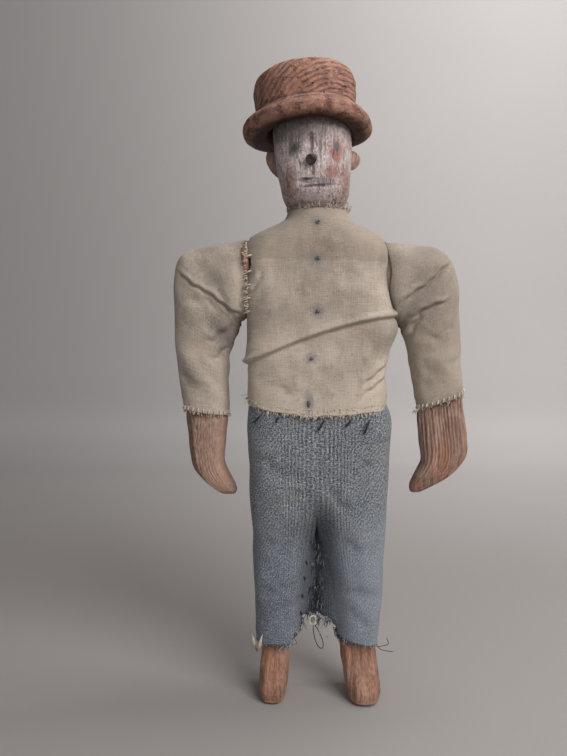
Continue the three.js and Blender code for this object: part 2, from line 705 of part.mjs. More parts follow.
// Sleeve: a tube that leaves the armhole level, turns a hard corner and hangs down the arm.
// Each ring spans from a point of the outer line, seen from the front, to a point of the inner line.
function sleeveRings(side, inset) {
  const lean = Math.tan(radians(side.armLean));
  const outerX = side.armReach + ARM_WIDTH / 2 + SLEEVE_EASE + LINEN;
  const innerX = side.armReach - ARM_WIDTH / 2 - SLEEVE_SLACK - LINEN;
  const cuffHalf = CUFF_ARM_WIDTH / 2 + SEAT_GAP + LINEN;
  const cuffDepth = ARM_DEPTH / 2 + SEAT_GAP + LINEN;
  const bend = steps(0, 90, 8).map((degrees, i) => {
    const across = Math.sin(radians(degrees));
    const up = Math.cos(radians(degrees));
    return {
      outX: armholeX + (outerX - armholeX) * across ** (2 / side.squareness),
      outZ: -SLEEVE_UNDERARM + (SLEEVE_TOP + SLEEVE_UNDERARM) * up ** (2 / side.squareness),
      inX: armholeX + (innerX - armholeX) * across,
      inZ: -SLEEVE_UNDERARM - ARMPIT_DROP * (1 - up),
      depth: SLEEVE_DEPTH / 2,
      crease: i % 2 ? CREASE_RISE : -CREASE_RISE,
      power: SLEEVE_FULLNESS,
    };
  });
  const hanging = steps(0, 1, 6).slice(1).map((f) => {
    const drop = SLEEVE_UNDERARM + ARMPIT_DROP + f * (side.cuffDrop - SLEEVE_UNDERARM - ARMPIT_DROP);
    const taper = f ** SLEEVE_TAPER;
    return {
      outX: THREE.MathUtils.lerp(outerX, side.armReach + cuffHalf, taper),
      outZ: -drop,
      inX: THREE.MathUtils.lerp(innerX, side.armReach - cuffHalf, taper),
      inZ: -drop,
      depth: THREE.MathUtils.lerp(SLEEVE_DEPTH / 2, cuffDepth, f),
      crease: 0,
      power: THREE.MathUtils.lerp(SLEEVE_FULLNESS, ARM_SQUARENESS, f),
    };
  });
  const lowest = hanging[hanging.length - 1];
  const pushed = { ...lowest, outZ: lowest.outZ - LINEN, inZ: lowest.inZ - LINEN };
  const mouth = { ...bend[0], outX: armholeX - LINEN, inX: armholeX - LINEN };
  const stations = inset ? [mouth, ...bend, ...hanging, pushed] : [...bend, ...hanging];
  return stations.map(({ outX, outZ, inX, inZ, depth, crease, power }) => {
    const outer = new THREE.Vector2(outX, outZ);
    const inner = new THREE.Vector2(inX, inZ);
    const half = outer.distanceTo(inner) / 2 - inset;
    const along = outer.clone().sub(inner).normalize();
    const ring = levelRing({ z: 0, width: half, front: depth - inset, power }, SLEEVE_POINTS);
    return ring.map((p) => {
      const inBend = (Math.max(0, -p.x) / half) * crease;
      const away = p.x - inBend;
      const x = (outX + inX) / 2 + along.x * away;
      const z = (outZ + inZ) / 2 + along.y * away;
      return point(side.out * (x + Math.max(0, -z) * lean), p.y, nailLevel + z);
    });
  });
}

function sleeveGeometry(side) {
  return geometryOf(cut(solid(loft(sleeveRings(side, 0))), solid(loft(sleeveRings(side, LINEN)))));
}

// Thread knots on the front of the shirt, each seated on the cloth.
function knotMesh(drop, number) {
  const z = collarTop - drop;
  const x = (-KNOT_DRIFT * number * number) / KNOT_DROPS.length ** 2;
  const clothFront = shirtSection(z, 1).front + foldRise(x, z);
  const knot = new THREE.SphereGeometry(KNOT_DIAMETER / 2, 8, 6);
  knot.scale(1, KNOT_THICKNESS / KNOT_DIAMETER, 1);
  const made = mesh("button_knot_" + number, knot, KNOT_THREAD);
  made.position.set(x, -clothFront - SEAT_GAP - KNOT_THICKNESS / 2, z);
  return made;
}

// Head: a round neck, a jaw, a flat face and a rounded crown inside the hat.
// The skull's sections are shares of the head's own height, width and depths.
const neckSection = (z) => ({ z, width: neckRadius, front: neckRadius, back: neckRadius, power: ROUND });
const skullSection = (level, width, face, nape) => ({
  z: level * HEAD_HEIGHT,
  width: (width * HEAD_WIDTH) / 2,
  front: face * FACE_DEPTH,
  back: nape * NAPE_DEPTH,
  power: HEAD_SQUARENESS,
});
const headStations = [
  neckSection(0),
  neckSection(NECK_LENGTH),
  skullSection(0.19, JAW_WIDTH / HEAD_WIDTH, 0.9, 0.75),
  skullSection(0.31, 0.92, 0.98, 0.88),
  skullSection(0.45, 0.98, 1, 0.97),
  skullSection(0.62, 1, 1, 1),
  skullSection(0.82, 0.94, 0.94, 0.94),
  skullSection(0.94, 0.74, 0.74, 0.74),
  skullSection(1, 0.44, 0.42, 0.42),
];

function headForm(grow) {
  const levels = [
    0,
    NECK_LENGTH,
    ...steps(0.14 * HEAD_HEIGHT, 0.62 * HEAD_HEIGHT, 7),
    ...steps(0.75 * HEAD_HEIGHT, HEAD_HEIGHT, 5),
  ];
  const rings = levels.map((z) => {
    const { width, front, back, power } = between(headStations, "z", z);
    const lift = z > NECK_LENGTH ? (grow * z) / HEAD_HEIGHT : 0;
    return levelRing({ z: z + lift, width: width + grow, front: front + grow, back: back + grow, power });
  });
  return solid(loft(rings));
}

const alongHead = (from, to, diameter, x = 0) => rod(point(x, 0, from), point(x, 0, to), diameter);
const earX = between(headStations, "z", EAR_LEVEL).width;
const noseFace = -between(headStations, "z", NOSE_LEVEL).front;

function headGeometry() {
  const dowelHole = alongHead(-DOWEL_IN_HEAD, DOWEL_IN_HEAD + SEAT_GAP, DOWEL_DIAMETER + 2 * SEAT_GAP);
  const pegHole = alongHead(
    HEAD_HEIGHT - HAT_PEG_IN_HEAD - SEAT_GAP,
    2 * HEAD_HEIGHT,
    HAT_PEG_DIAMETER + 2 * SEAT_GAP,
    -HAT_SHIFT,
  );
  const noseHole = rod(
    point(0, noseFace + NOSE_DEPTH + SEAT_GAP, NOSE_LEVEL),
    point(0, 2 * noseFace, NOSE_LEVEL),
    NOSE_DIAMETER + 2 * SEAT_GAP,
  );
  const earHoles = SIDES.map(({ out }) =>
    rod(
      point(out * (earX - EAR_TENON_LENGTH - SEAT_GAP), 0, EAR_LEVEL),
      point(out * 2 * earX, 0, EAR_LEVEL),
      EAR_TENON_DIAMETER + 2 * SEAT_GAP,
    ),
  );
  return geometryOf(cut(headForm(0), dowelHole, pegHole, noseHole, ...earHoles));
}

// Ear: a flattened tab hollowed to the side of the head, with a round tenon.
function earGeometry({ out }) {
  const tab = new THREE.SphereGeometry(0.5, 14, 10);
  tab.scale(2 * EAR_REACH, EAR_THICKNESS, EAR_HEIGHT);
  tab.translate(out * earX, 0, EAR_LEVEL);
  const tenon = rod(
    point(out * (earX - EAR_TENON_LENGTH), 0, EAR_LEVEL),
    point(out * (earX + EAR_REACH / 2), 0, EAR_LEVEL),
    EAR_TENON_DIAMETER,
  );
  return geometryOf(cut(solid(tab), headForm(SEAT_GAP)).add(tenon));
}

// Nose: a round peg with a blunt end.
function noseGeometry() {
  const half = NOSE_DIAMETER / 2;
  const length = NOSE_DEPTH + NOSE_STANDS_OUT;
  const profile = new THREE.Path();
  profile.moveTo(0, 0);
  profile.lineTo(half, 0);
  profile.lineTo(half, length - 1);
  profile.quadraticCurveTo(half, length, half - 1, length);
  profile.lineTo(0, length);
  const peg = new THREE.LatheGeometry(profile.getPoints(3), ROUND_SIDES);
  return peg.rotateX(Math.PI);
}

// Hat: a turned-down rolled brim and a low crown, hollowed to the head.
function hatGeometry() {
  const crown = HEAD_WIDTH / 2 + HAT_WALL;
  const brim = crown + BRIM_REACH;
  const rimMiddle = BRIM_THICKNESS / 2 - BRIM_DROP;
  const wallTop = CROWN_HEIGHT - CROWN_ROUNDING;
  const profile = new THREE.Path();
  profile.moveTo(0, -HAT_HOLLOW);
  profile.lineTo(crown - HAT_WALL + SEAT_GAP, -HAT_HOLLOW);
  profile.lineTo(brim - BRIM_THICKNESS / 2, -BRIM_DROP);
  profile.quadraticCurveTo(brim, -BRIM_DROP, brim, rimMiddle);
  profile.quadraticCurveTo(
    brim,
    rimMiddle + BRIM_THICKNESS / 2,
    crown + BRIM_REACH / 2,
    rimMiddle + BRIM_SHOULDER_SHARE * BRIM_THICKNESS,
  );
  profile.quadraticCurveTo(crown, 0, crown - CROWN_WAIST, CROWN_WAIST);
  profile.quadraticCurveTo(crown + CROWN_SWELL, wallTop / 2, crown, wallTop);
  profile.quadraticCurveTo(
    crown - CROWN_WAIST,
    CROWN_HEIGHT - CROWN_SWELL,
    crown - CROWN_ROUNDING,
    CROWN_HEIGHT - CROWN_WAIST,
  );
  profile.lineTo(0, CROWN_HEIGHT);
  const turned = new THREE.LatheGeometry(profile.getPoints(3), HAT_SIDES);
  turned.rotateX(Math.PI / 2);
  turned.scale(1, HAT_OVAL_RATIO, 1);
  turned.rotateX(-radians(HAT_TIP));
  turned.rotateY(-radians(HAT_LEAN));
  turned.translate(-HAT_SHIFT, 0, HAT_SEAT);
  const pegHole = alongHead(
    0,
    HEAD_HEIGHT + HAT_PEG_IN_HAT + SEAT_GAP,
    HAT_PEG_DIAMETER + 2 * SEAT_GAP,
    -HAT_SHIFT,
  );
  return geometryOf(cut(solid(turned), headForm(SEAT_GAP), pegHole));
}

function headGroup() {
  const group = new THREE.Group();
  group.applyMatrix4(headFrame);
  const dowel = alongHead(-DOWEL_IN_TRUNK, DOWEL_IN_HEAD, DOWEL_DIAMETER);
  const hatPeg = alongHead(
    HEAD_HEIGHT - HAT_PEG_IN_HEAD,
    HEAD_HEIGHT + HAT_PEG_IN_HAT,
    HAT_PEG_DIAMETER,
    -HAT_SHIFT,
  );
  const nose = mesh("nose_peg", noseGeometry(), BARE_WOOD);
  nose.position.set(0, noseFace + NOSE_DEPTH, NOSE_LEVEL);
  group.add(
    mesh("head", headGeometry(), PAINTED_WOOD),
    mesh("neck_dowel", geometryOf(dowel), BARE_WOOD),
    mesh("hat", hatGeometry(), HAT_WOOD),
    mesh("hat_peg", geometryOf(hatPeg), BARE_WOOD),
    nose,
    ...SIDES.map((side) => mesh(side.name + "_ear", earGeometry(side), BARE_WOOD)),
  );
  return group;
}

const doll = new THREE.Group();
const shirt = shirtSolid();
doll.add(
  mesh("trunk", trunkGeometry(), BARE_WOOD),
  mesh("shoulder_bar", shoulderBarGeometry(), BARE_WOOD),
  mesh("shirt_front", shirtPanelGeometry(shirt, -1), LINEN_CLOTH),
  mesh("shirt_back", shirtPanelGeometry(shirt, 1), LINEN_CLOTH),
  mesh("trouser_seat", trouserSeatGeometry(), TWILL_CLOTH),
  headGroup(),
);
KNOT_DROPS.forEach((drop, i) => doll.add(knotMesh(drop, i + 1)));
for (const side of SIDES) {
  const { inner, outer } = armFaces(side);
  const legOuter = hipX + LEG_WIDTH / 2 + TURN_GAP;
  const hipPoint = TONGUE_WIDTH / 2 - HIP_NAIL_GRIP;
  doll.add(
    mesh(side.name + "_arm", armGeometry(side), BARE_WOOD),
    mesh(side.name + "_arm_nail", nail(inner - ARM_NAIL_GRIP, outer, nailLevel, side.out), IRON),
    mesh(side.name + "_sleeve", sleeveGeometry(side), LINEN_CLOTH),
    mesh(side.name + "_leg", legGeometry(side), BARE_WOOD),
    mesh(side.name + "_hip_nail", nail(hipPoint, legOuter, hipLevel, side.out), IRON),
    mesh(side.name + "_trouser_leg", trouserLegGeometry(side), TWILL_CLOTH),
  );
}

// The origin is on the floor under the middle of the doll's box.
const box = new THREE.Box3().setFromObject(doll, true);
const middle = box.getCenter(point(0, 0, 0));
doll.position.set(-middle.x, -middle.y, -box.min.z);

export default doll;
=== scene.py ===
import math

import bmesh
import bpy
import numpy as np
from bpy.props import FloatProperty, FloatVectorProperty, PointerProperty
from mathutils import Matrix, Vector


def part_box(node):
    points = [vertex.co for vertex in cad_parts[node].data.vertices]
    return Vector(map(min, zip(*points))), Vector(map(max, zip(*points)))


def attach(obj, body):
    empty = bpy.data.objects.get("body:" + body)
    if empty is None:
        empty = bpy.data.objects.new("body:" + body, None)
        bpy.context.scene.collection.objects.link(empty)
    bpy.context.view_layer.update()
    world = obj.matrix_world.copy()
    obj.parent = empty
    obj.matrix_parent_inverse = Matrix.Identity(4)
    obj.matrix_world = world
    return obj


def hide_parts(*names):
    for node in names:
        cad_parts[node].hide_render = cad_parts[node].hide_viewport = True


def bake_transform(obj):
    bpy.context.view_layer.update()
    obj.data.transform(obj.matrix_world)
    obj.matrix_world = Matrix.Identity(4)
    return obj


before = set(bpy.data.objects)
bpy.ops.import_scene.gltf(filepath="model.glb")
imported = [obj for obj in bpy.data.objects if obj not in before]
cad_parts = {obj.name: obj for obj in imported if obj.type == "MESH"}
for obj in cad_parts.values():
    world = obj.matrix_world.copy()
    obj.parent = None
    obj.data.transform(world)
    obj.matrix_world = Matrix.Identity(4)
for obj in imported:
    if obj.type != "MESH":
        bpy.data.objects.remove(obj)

bl_info = {
    "name": "Wooden doll",
    "version": (1, 0, 0),
    "blender": (4, 5, 0),
    "location": "3D View > Sidebar > Doll",
    "description": "The surfaces of a carved wooden doll in a hat, a linen shirt and twill trousers",
    "category": "Object",
}

# Shapes are drawn in millimetres from the floor under the middle of the trunk: x to the doll's own
# left, y to its back, z up. This is where that point lies in the shared frame.
MM = 0.001
TRUNK_LOW, TRUNK_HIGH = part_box("trunk")
MIDDLE_X = (TRUNK_LOW.x + TRUNK_HIGH.x) / 2
MIDDLE_Y = (TRUNK_LOW.y + TRUNK_HIGH.y) / 2

SIDES = {"right": -1, "left": 1}  # the way each side lies along x
DOWN = np.array([0.0, 0.0, -1.0])
NECK_FOOT = 226.6
HEAD_HEIGHT = 57.0
HEAD_LEAN = math.radians(4)
YOKE_LEVEL = 209.0
FOLD_MIDDLE = 175.0  # height of the shirt's fold at the middle
SHIRT_LENGTH = 100.0
TROUSER_HEM, TROUSER_TOP = 27.0, 148.0
CLOTH_COORDINATES = "UVMap"
TINY = 1e-9  # keeps a division by a length of nothing harmless
SAME_PLACE = 1e-7  # metres under which two corners of a mesh become one


# Numbers along and across a surface

def through(knots, places):
    """Smooth values at places along a list of knots (place, value, ...): cubics with Catmull-Rom slopes."""
    table = np.array(knots, dtype=float)
    at, values = table[:, 0], table[:, 1:]
    slopes = np.gradient(values, at, axis=0)
    places = np.clip(np.asarray(places, dtype=float), at[0], at[-1])
    index = np.clip(np.searchsorted(at, places, side="right") - 1, 0, len(at) - 2)
    width = (at[index + 1] - at[index])[..., None]
    t = (places[..., None] - at[index][..., None]) / width
    start, end = values[index], values[index + 1]
    leave, arrive = slopes[index] * width, slopes[index + 1] * width
    smooth = start * (1 + 2 * t) * (1 - t) ** 2 + end * t * t * (3 - 2 * t)
    result = smooth + leave * t * (1 - t) ** 2 - arrive * t * t * (1 - t)
    return np.moveaxis(result, -1, 0)


def step_up(value, low, high):
    """0 below low, 1 above high and a smooth rise between."""
    t = np.clip((value - low) / (high - low), 0, 1)
    return t * t * (3 - 2 * t)


def bump(value, width):
    """1 where value is 0, falling off smoothly over the width on both sides."""
    return np.exp(-((value / width) ** 2))


def uneven(a, b, seed, longest, shortest, count=8):
    """Smooth unevenness from about -1 to 1: waves of falling length in seeded directions, added up."""
    rng = np.random.default_rng(seed)
    total = np.zeros(np.broadcast(a, b).shape)
    whole = 0.0
    for length in np.geomspace(longest, shortest, count):
        turn, phase = rng.uniform(0, 2 * np.pi, 2)
        share = (length / longest) ** 0.6
        total += share * np.sin(2 * np.pi * (a * np.cos(turn) + b * np.sin(turn)) / length + phase)
        whole += share
    return 2 * total / whole


def crease(x, z, start, end, width, depth):
    """A crease along the line from start to end: a narrow valley with a soft roll beside its upper side."""
    along_x, along_z = end[0] - start[0], end[1] - start[1]
    length = math.hypot(along_x, along_z)
    along = ((x - start[0]) * along_x + (z - start[1]) * along_z) / length
    above = (-(x - start[0]) * along_z + (z - start[1]) * along_x) / length
    if along_x < 0:
        above = -above
    above = above + 0.5 * width * np.sin(0.33 * along + start[0]) + 0.3 * width * np.sin(0.9 * along)
    ends = step_up(along, -0.15 * length, 0.2 * length) * (1 - step_up(along, 0.8 * length, 1.15 * length))
    valley = -bump(above, width)
    roll = 0.9 * bump(above - 2.2 * width, 1.6 * width)
    return depth * ends * (valley + roll)


def round_angles(count):
    """Angles round a ring, from the back, anticlockwise seen from above."""
    return np.pi / 2 + 2 * np.pi * np.arange(count) / count


def oblong_reach(cosine, sine, side, depth, power):
    """Distance from the middle of a rounded oblong to its edge, in polar form; a higher power is squarer."""
    spread = np.abs(cosine / side) ** power + np.abs(sine / depth) ** power
    return spread ** (-1 / power)


def level_rings(angles, z, plus, minus, front, back, power):
    """Level rings about x = 0: rounded oblongs with their own reach to each side."""
    cosine, sine = np.cos(angles)[None, :], np.sin(angles)[None, :]
    side = np.where(cosine > 0, plus[:, None], minus[:, None])
    depth = np.where(sine < 0, front[:, None], back[:, None])
    squareness = np.broadcast_to(np.asarray(power, dtype=float), z.shape)[:, None]
    radius = oblong_reach(cosine, sine, side, depth, squareness)
    height = np.broadcast_to(z[:, None], radius.shape)
    return np.stack([radius * cosine, radius * sine, height], axis=-1)


def unit(vectors):
    """The vectors with a length of one."""
    return vectors / np.maximum(np.linalg.norm(vectors, axis=-1, keepdims=True), TINY)


def normals_of(points):
    """Outward directions of a grid whose rows go up and whose columns close anticlockwise."""
    across = np.roll(points, -1, axis=1) - np.roll(points, 1, axis=1)
    along = np.gradient(points, axis=0)
    return unit(np.cross(across, along))


def pushed(points, amount):
    """The grid moved outwards by an amount for each point."""
    return points + normals_of(points) * amount[..., None]


def turned_in(points, thickness, rows):
    """The grid with its lowest and highest rows turned in, so that its edges show the cloth's thickness."""
    inside = points - normals_of(points) * thickness
    return np.concatenate([inside[rows::-1], points, inside[:-rows - 2:-1]])


def draw_ends_together(points):
    """The first and the last row each moved to one point, in place."""
    for row in (0, -1):
        points[row] = points[row].mean(axis=0)


def head_place(points):
    """Points drawn about the neck's foot, leaned with the head."""
    x, y, z = np.moveaxis(points, -1, 0)
    lean_x = x * math.cos(HEAD_LEAN) - z * math.sin(HEAD_LEAN)
    lean_z = x * math.sin(HEAD_LEAN) + z * math.cos(HEAD_LEAN)
    return np.stack([lean_x, y, lean_z + NECK_FOOT], axis=-1)


# Meshes

def grid_faces(rows, columns, closed):
    """Corner numbers of the squares of a grid, and the same before the last column joins the first."""
    across = columns if closed else columns - 1
    row, column = np.meshgrid(np.arange(rows - 1), np.arange(across), indexing="ij")
    places = [(row, column), (row, column + 1), (row + 1, column + 1), (row + 1, column)]
    faces = np.stack([r * columns + c % columns for r, c in places], axis=-1)
    corners = np.stack([r * (columns + 1) + c for r, c in places], axis=-1)
    return faces.reshape(-1, 4), corners.reshape(-1, 4)


def piece(name, vertices, faces, material, corner_marks=None, poles=False):
    """A smooth mesh object from points in millimetres and square faces."""
    shift = np.array([MIDDLE_X, MIDDLE_Y, 0.0])
    mesh = bpy.data.meshes.new(name)
    mesh.from_pydata(vertices * MM + shift, [], faces.tolist())
    if corner_marks is not None:
        layer = mesh.uv_layers.new(name=CLOTH_COORDINATES)
        layer.data.foreach_set("uv", np.ascontiguousarray(corner_marks, dtype=np.float32).ravel())
    if poles:
        shape = bmesh.new()
        shape.from_mesh(mesh)
        bmesh.ops.remove_doubles(shape, verts=shape.verts, dist=SAME_PLACE)
        shape.to_mesh(mesh)
        shape.free()
    mesh.materials.append(material)
    mesh.shade_smooth()
    mesh.update()
    made = bpy.data.objects.new(name, mesh)
    bpy.context.scene.collection.objects.link(made)
    return made


def grid_piece(name, points, material, span=None, poles=False, hole=None):
    """A piece from a closed grid. Its own coordinates span a width and a length in millimetres."""
    rows, columns = points.shape[:2]
    faces, corners = grid_faces(rows, columns, True)
    kept = np.ones(len(faces), dtype=bool) if hole is None else ~hole[: rows - 1].ravel()
    corner_marks = None
    if span is not None:
        width, length = span
        grid = np.meshgrid(np.linspace(0, width, columns + 1), np.linspace(0, length, rows))
        corner_marks = np.stack(grid, axis=-1).reshape(-1, 2)[corners[kept]]
    return piece(name, points.reshape(-1, 3), faces[kept], material, corner_marks, poles)


def threads(name, paths, radius, material, sides=5):
    """Round threads along many paths at once: a ring of points carried along each path, ends closed."""
    paths = np.asarray(paths, dtype=float)
    count, steps = paths.shape[:2]
    along = unit(np.gradient(paths, axis=1))
    nearly_along = 0.9  # a thread that runs this much along y takes x to measure from
    other = np.where(np.abs(along[..., 1:2]) < nearly_along, [[0.0, 1.0, 0.0]], [[1.0, 0.0, 0.0]])
    first = unit(np.cross(along, other))
    second = np.cross(along, first)
    turn = 2 * np.pi * np.arange(sides) / sides
    taper = np.minimum(1, 4 * np.sin(np.pi * np.linspace(0, 1, steps)))
    wide = (np.broadcast_to(radius, count)[:, None] * taper[None, :])[..., None, None]
    circle = np.cos(turn)[:, None] * first[:, :, None, :] + np.sin(turn)[:, None] * second[:, :, None, :]
    points = paths[:, :, None, :] + wide * circle
    one, _ = grid_faces(steps, sides, True)
    faces = (one[None] + (np.arange(count) * steps * sides)[:, None, None]).reshape(-1, 4)
    return piece(name, points.reshape(-1, 3), faces, material, poles=True)


def hanging(starts, ends, sag, steps=6):
    """Paths from starts to ends, each bowed by its own sag."""
    t = np.linspace(0, 1, steps)[None, :, None]
    bow = 4 * t * (1 - t)
    return starts[:, None] * (1 - t) + ends[:, None] * t + np.broadcast_to(sag, starts.shape)[:, None] * bow


def bent(places, steps):
    """A smooth path through places, evenly numbered along it."""
    knots = np.insert(np.array(places, dtype=float), 0, np.arange(len(places)), axis=1)
    return np.stack(through(knots, np.linspace(0, len(places) - 1, steps)), axis=-1)


# Materials

# The Mix node's sockets for colours, by number because their names are shared with its other sockets.
MIX_SHARE, MIX_FIRST, MIX_SECOND, MIX_RESULT = 0, 6, 7, 2


class Wire:
    """One socket among a material's nodes; arithmetic on it adds Math nodes."""

    def __init__(self, tree, socket=None):
        self.tree = tree
        self.socket = socket

    def node(self, kind, settings=None, values=None, output=0):
        """A new node of a kind with its settings, and values or wires for its sockets."""
        made = self.tree.nodes.new(kind)
        for name, value in (settings or {}).items():
            setattr(made, name, value)
        for key, value in (values or {}).items():
            if isinstance(value, Wire):
                self.tree.links.new(value.socket, made.inputs[key])
            else:
                made.inputs[key].default_value = value
        return Wire(self.tree, made.outputs[output])

    def maths(self, operation, *values):
        """A Math node of an operation on wires and numbers."""
        return self.node("ShaderNodeMath", {"operation": operation}, dict(enumerate(values)))

    def __add__(self, other):
        return self.maths("ADD", self, other)

    __radd__ = __add__

    def __sub__(self, other):
        return self.maths("SUBTRACT", self, other)

    def __rsub__(self, other):
        return self.maths("SUBTRACT", other, self)

    def __mul__(self, other):
        return self.maths("MULTIPLY", self, other)

    __rmul__ = __mul__

    def __truediv__(self, other):
        return self.maths("DIVIDE", self, other)

    def __pow__(self, other):
        return self.maths("POWER", self, other)

    def wave(self):
        """Sine of the value in turns, from 0 to 1."""
        return self.maths("SINE", self * (2 * math.pi)) * 0.5 + 0.5

    def rise(self, low, high):
        """0 below low, 1 above high, smooth between."""
        settings = {"interpolation_type": "SMOOTHSTEP"}
        return self.node("ShaderNodeMapRange", settings, {"Value": self, "From Min": low, "From Max": high})

    def parts(self):
        """The three parts of a vector."""
        split = self.tree.nodes.new("ShaderNodeSeparateXYZ")
        self.tree.links.new(self.socket, split.inputs[0])
        return [Wire(self.tree, output) for output in split.outputs]

    def cloth(self):
        """Millimetres across and along the piece's own surface."""
        across, along, _ = self.node("ShaderNodeUVMap", {"uv_map": CLOTH_COORDINATES}).parts()
        return across, along

    def noise(self, vector, scale, detail=3.0, roughness=0.55, distortion=0.0):
        """Cloudy noise at a place, with a scale per millimetre."""
        values = {"Vector": vector, "Scale": scale, "Detail": detail, "Roughness": roughness}
        values["Distortion"] = distortion
        return self.node("ShaderNodeTexNoise", None, values)

    def streaks(self, parts, scales, detail=3.0, roughness=0.55, distortion=0.0, shift=0):
        """Noise with a scale of its own along each part of a place, moved along the last."""
        x, y, z = [part * scale for part, scale in zip(parts, scales)]
        if shift:
            z = z + shift
        vector = self.node("ShaderNodeCombineXYZ", None, {0: x, 1: y, 2: z})
        return self.noise(vector, 1.0, detail, roughness, distortion)

    def mix(self, share, first, second, kind="MIX"):
        """Two colours mixed by a share; each is a wire or three parts of linear light."""
        first, second = [side if isinstance(side, Wire) else (*side, 1.0) for side in (first, second)]
        settings = {"data_type": "RGBA", "blend_type": kind}
        values = {MIX_SHARE: share, MIX_FIRST: first, MIX_SECOND: second}
        return self.node("ShaderNodeMix", settings, values, MIX_RESULT)

    def coats(self, base, layers):
        """A colour with other colours laid over it in turn, each with its share."""
        for share, tint in layers:
            base = self.mix(share, base, tint)
        return base


def shade(values, factor):
    """A colour made lighter or darker."""
    return tuple(min(1.0, part * factor) for part in values)


def srgb(red, green, blue):
    """A colour from its 0 to 255 screen values, as linear light."""
    def linear(part):
        part /= 255
        return part / 12.92 if part <= 0.04045 else ((part + 0.055) / 1.055) ** 2.4
    return tuple(linear(part) for part in (red, green, blue))


def start_material(name):
    """A new material, a wire to add nodes with, and the doll's own millimetres as a vector."""
    made = bpy.data.materials.new(name)
    made.use_nodes = True
    made.node_tree.nodes.clear()
    wire = Wire(made.node_tree)
    place = wire.node("ShaderNodeTexCoord", output="Object")
    middle = (MIDDLE_X, MIDDLE_Y, 0)
    moved = wire.node("ShaderNodeVectorMath", {"operation": "SUBTRACT"}, {0: place, 1: middle})
    scaled = wire.node("ShaderNodeVectorMath", {"operation": "SCALE"}, {0: moved, "Scale": 1 / MM})
    return made, wire, scaled


def finish_material(made, wire, base, roughness, height, reach, specular=0.3, sheen=0.0):
    """A Principled surface from a colour, a roughness and a height in millimetres that tilts its normals."""
    normal = wire.node("ShaderNodeBump", None, {"Strength": 1.0, "Distance": reach * MM, "Height": height})
    values = {"Base Color": base, "Roughness": roughness, "Normal": normal}
    values["Specular IOR Level"] = specular
    values["Sheen Weight"] = sheen
    surface = wire.node("ShaderNodeBsdfPrincipled", None, values)
    output = made.node_tree.nodes.new("ShaderNodeOutputMaterial")
    made.node_tree.links.new(surface.socket, output.inputs["Surface"])
    return made


def spot(x, z, middle, reach, softness, wobble):
    """1 inside an oval about a middle in the front view, with a soft uneven edge."""
    across = (x - middle[0]) / reach[0]
    up = (z - middle[1]) / reach[1]
    distance = (across * across + up * up) ** 0.5 + wobble
    return 1 - distance.rise(1 - softness, 1 + softness)


# The buttons: x and height of each knot, its width and its height.
BUTTONS = [
    (0.2, 225.0, 3.0, 2.6), (0.3, 209.0, 3.2, 2.8), (0.3, 185.6, 3.0, 3.2), (-2.4, 164.6, 3.0, 2.8),
    (-3.5, 144.2, 2.0, 6.5),
]
# Smudges on the sleeves, the first one painted shade in the dent inside the right elbow: middle in the front
# view, reach and strength.
SLEEVE_SMUDGES_AND_SHADE = [
    ((-43, 175), (5, 9), 0.8), ((-46, 206), (11, 9), 0.25), ((-59, 157), (3, 6), 0.3),
    ((46, 210), (11, 6), 0.3), ((47, 190), (9, 6), 0.25),
]


def linen_material(name, colours, yoke):
    """Linen: a plain weave with thick and thin threads and stains; darker above a yoke, or with smudges,
    painted shade near the armhole seam and in a dent at one elbow.
    """
    made, wire, place = start_material(name)
    across, along = wire.cloth()
    x, y, z = place.parts()
    weave = ((across / 0.8).wave() - 0.5) * ((along / 0.8).wave() - 0.5) * 2 + 0.5
    fuzz = wire.noise(place, 1.4, 3.0, 0.6)
    weft = wire.streaks((across, along, 0), (0.16, 1.5, 0))
    warp = wire.streaks((across, along, 0), (1.5, 0.16, 0), shift=7)
    stain = wire.noise(place, 0.04, 5.0, 0.6)
    lower = 1 - z.rise(160, 182)
    tone = weave * 0.12 + weft * 0.4 + warp * 0.35 + fuzz * 0.4 + stain * 1.1 + lower * 0.1 - 0.68
    base = wire.mix(tone.rise(0.1, 0.95), shade(colours.linen, 0.62), shade(colours.linen, 1.28))
    speck = wire.noise(place, 0.8, 2.0).rise(0.66, 0.74)
    grime = wire.noise(place, 0.09, 5.0, 0.65).rise(0.52, 0.72)
    layers = [(speck * 0.5, colours.stain), (grime * 0.35, shade(colours.stain, 1.25))]
    if yoke:
        level = (z + wire.noise(place, 0.12) * 3 + x * 0.02).rise(yoke, yoke + 1.2)
        pale = 1 - (z + fuzz * 3).rise(140.5, 144.5)
        layers += [(level * 0.31, shade(colours.stain, 1.6)), (pale * 0.45, colours.light_thread)]
        front = (0 - y).rise(2, 8)
        for button_x, button_z, wide, tall in BUTTONS:
            halo = spot(x, z, (button_x, button_z), (wide * 0.9, tall * 0.8), 0.8, (fuzz - 0.5) * 1.5)
            layers.append((halo * front * 0.55, srgb(104, 104, 112)))
    else:
        # Painted shade near the armhole, where the sleeve meets the body; the outer side is darker as well.
        seam, outer_side = along.rise(80, 86), x.rise(36, 56)
        layers += [(seam * 0.5, colours.stain), (outer_side * 0.34, shade(colours.stain, 1.3))]
        # Dirt smudges, and painted shade in the dent inside the right elbow.
        for middle, reach, share in SLEEVE_SMUDGES_AND_SHADE:
            smudge_and_shade = spot(x, z, middle, reach, 0.7, (fuzz - 0.5) * 1.2 + (stain - 0.5) * 2)
            layers.append((smudge_and_shade * share, srgb(104, 96, 92)))
    height = weave * 0.1 + weft * 0.2 + warp * 0.2 + fuzz * 0.2
    return finish_material(made, wire, wire.coats(base, layers), 0.92, height, 0.8, 0.12, 0.15)


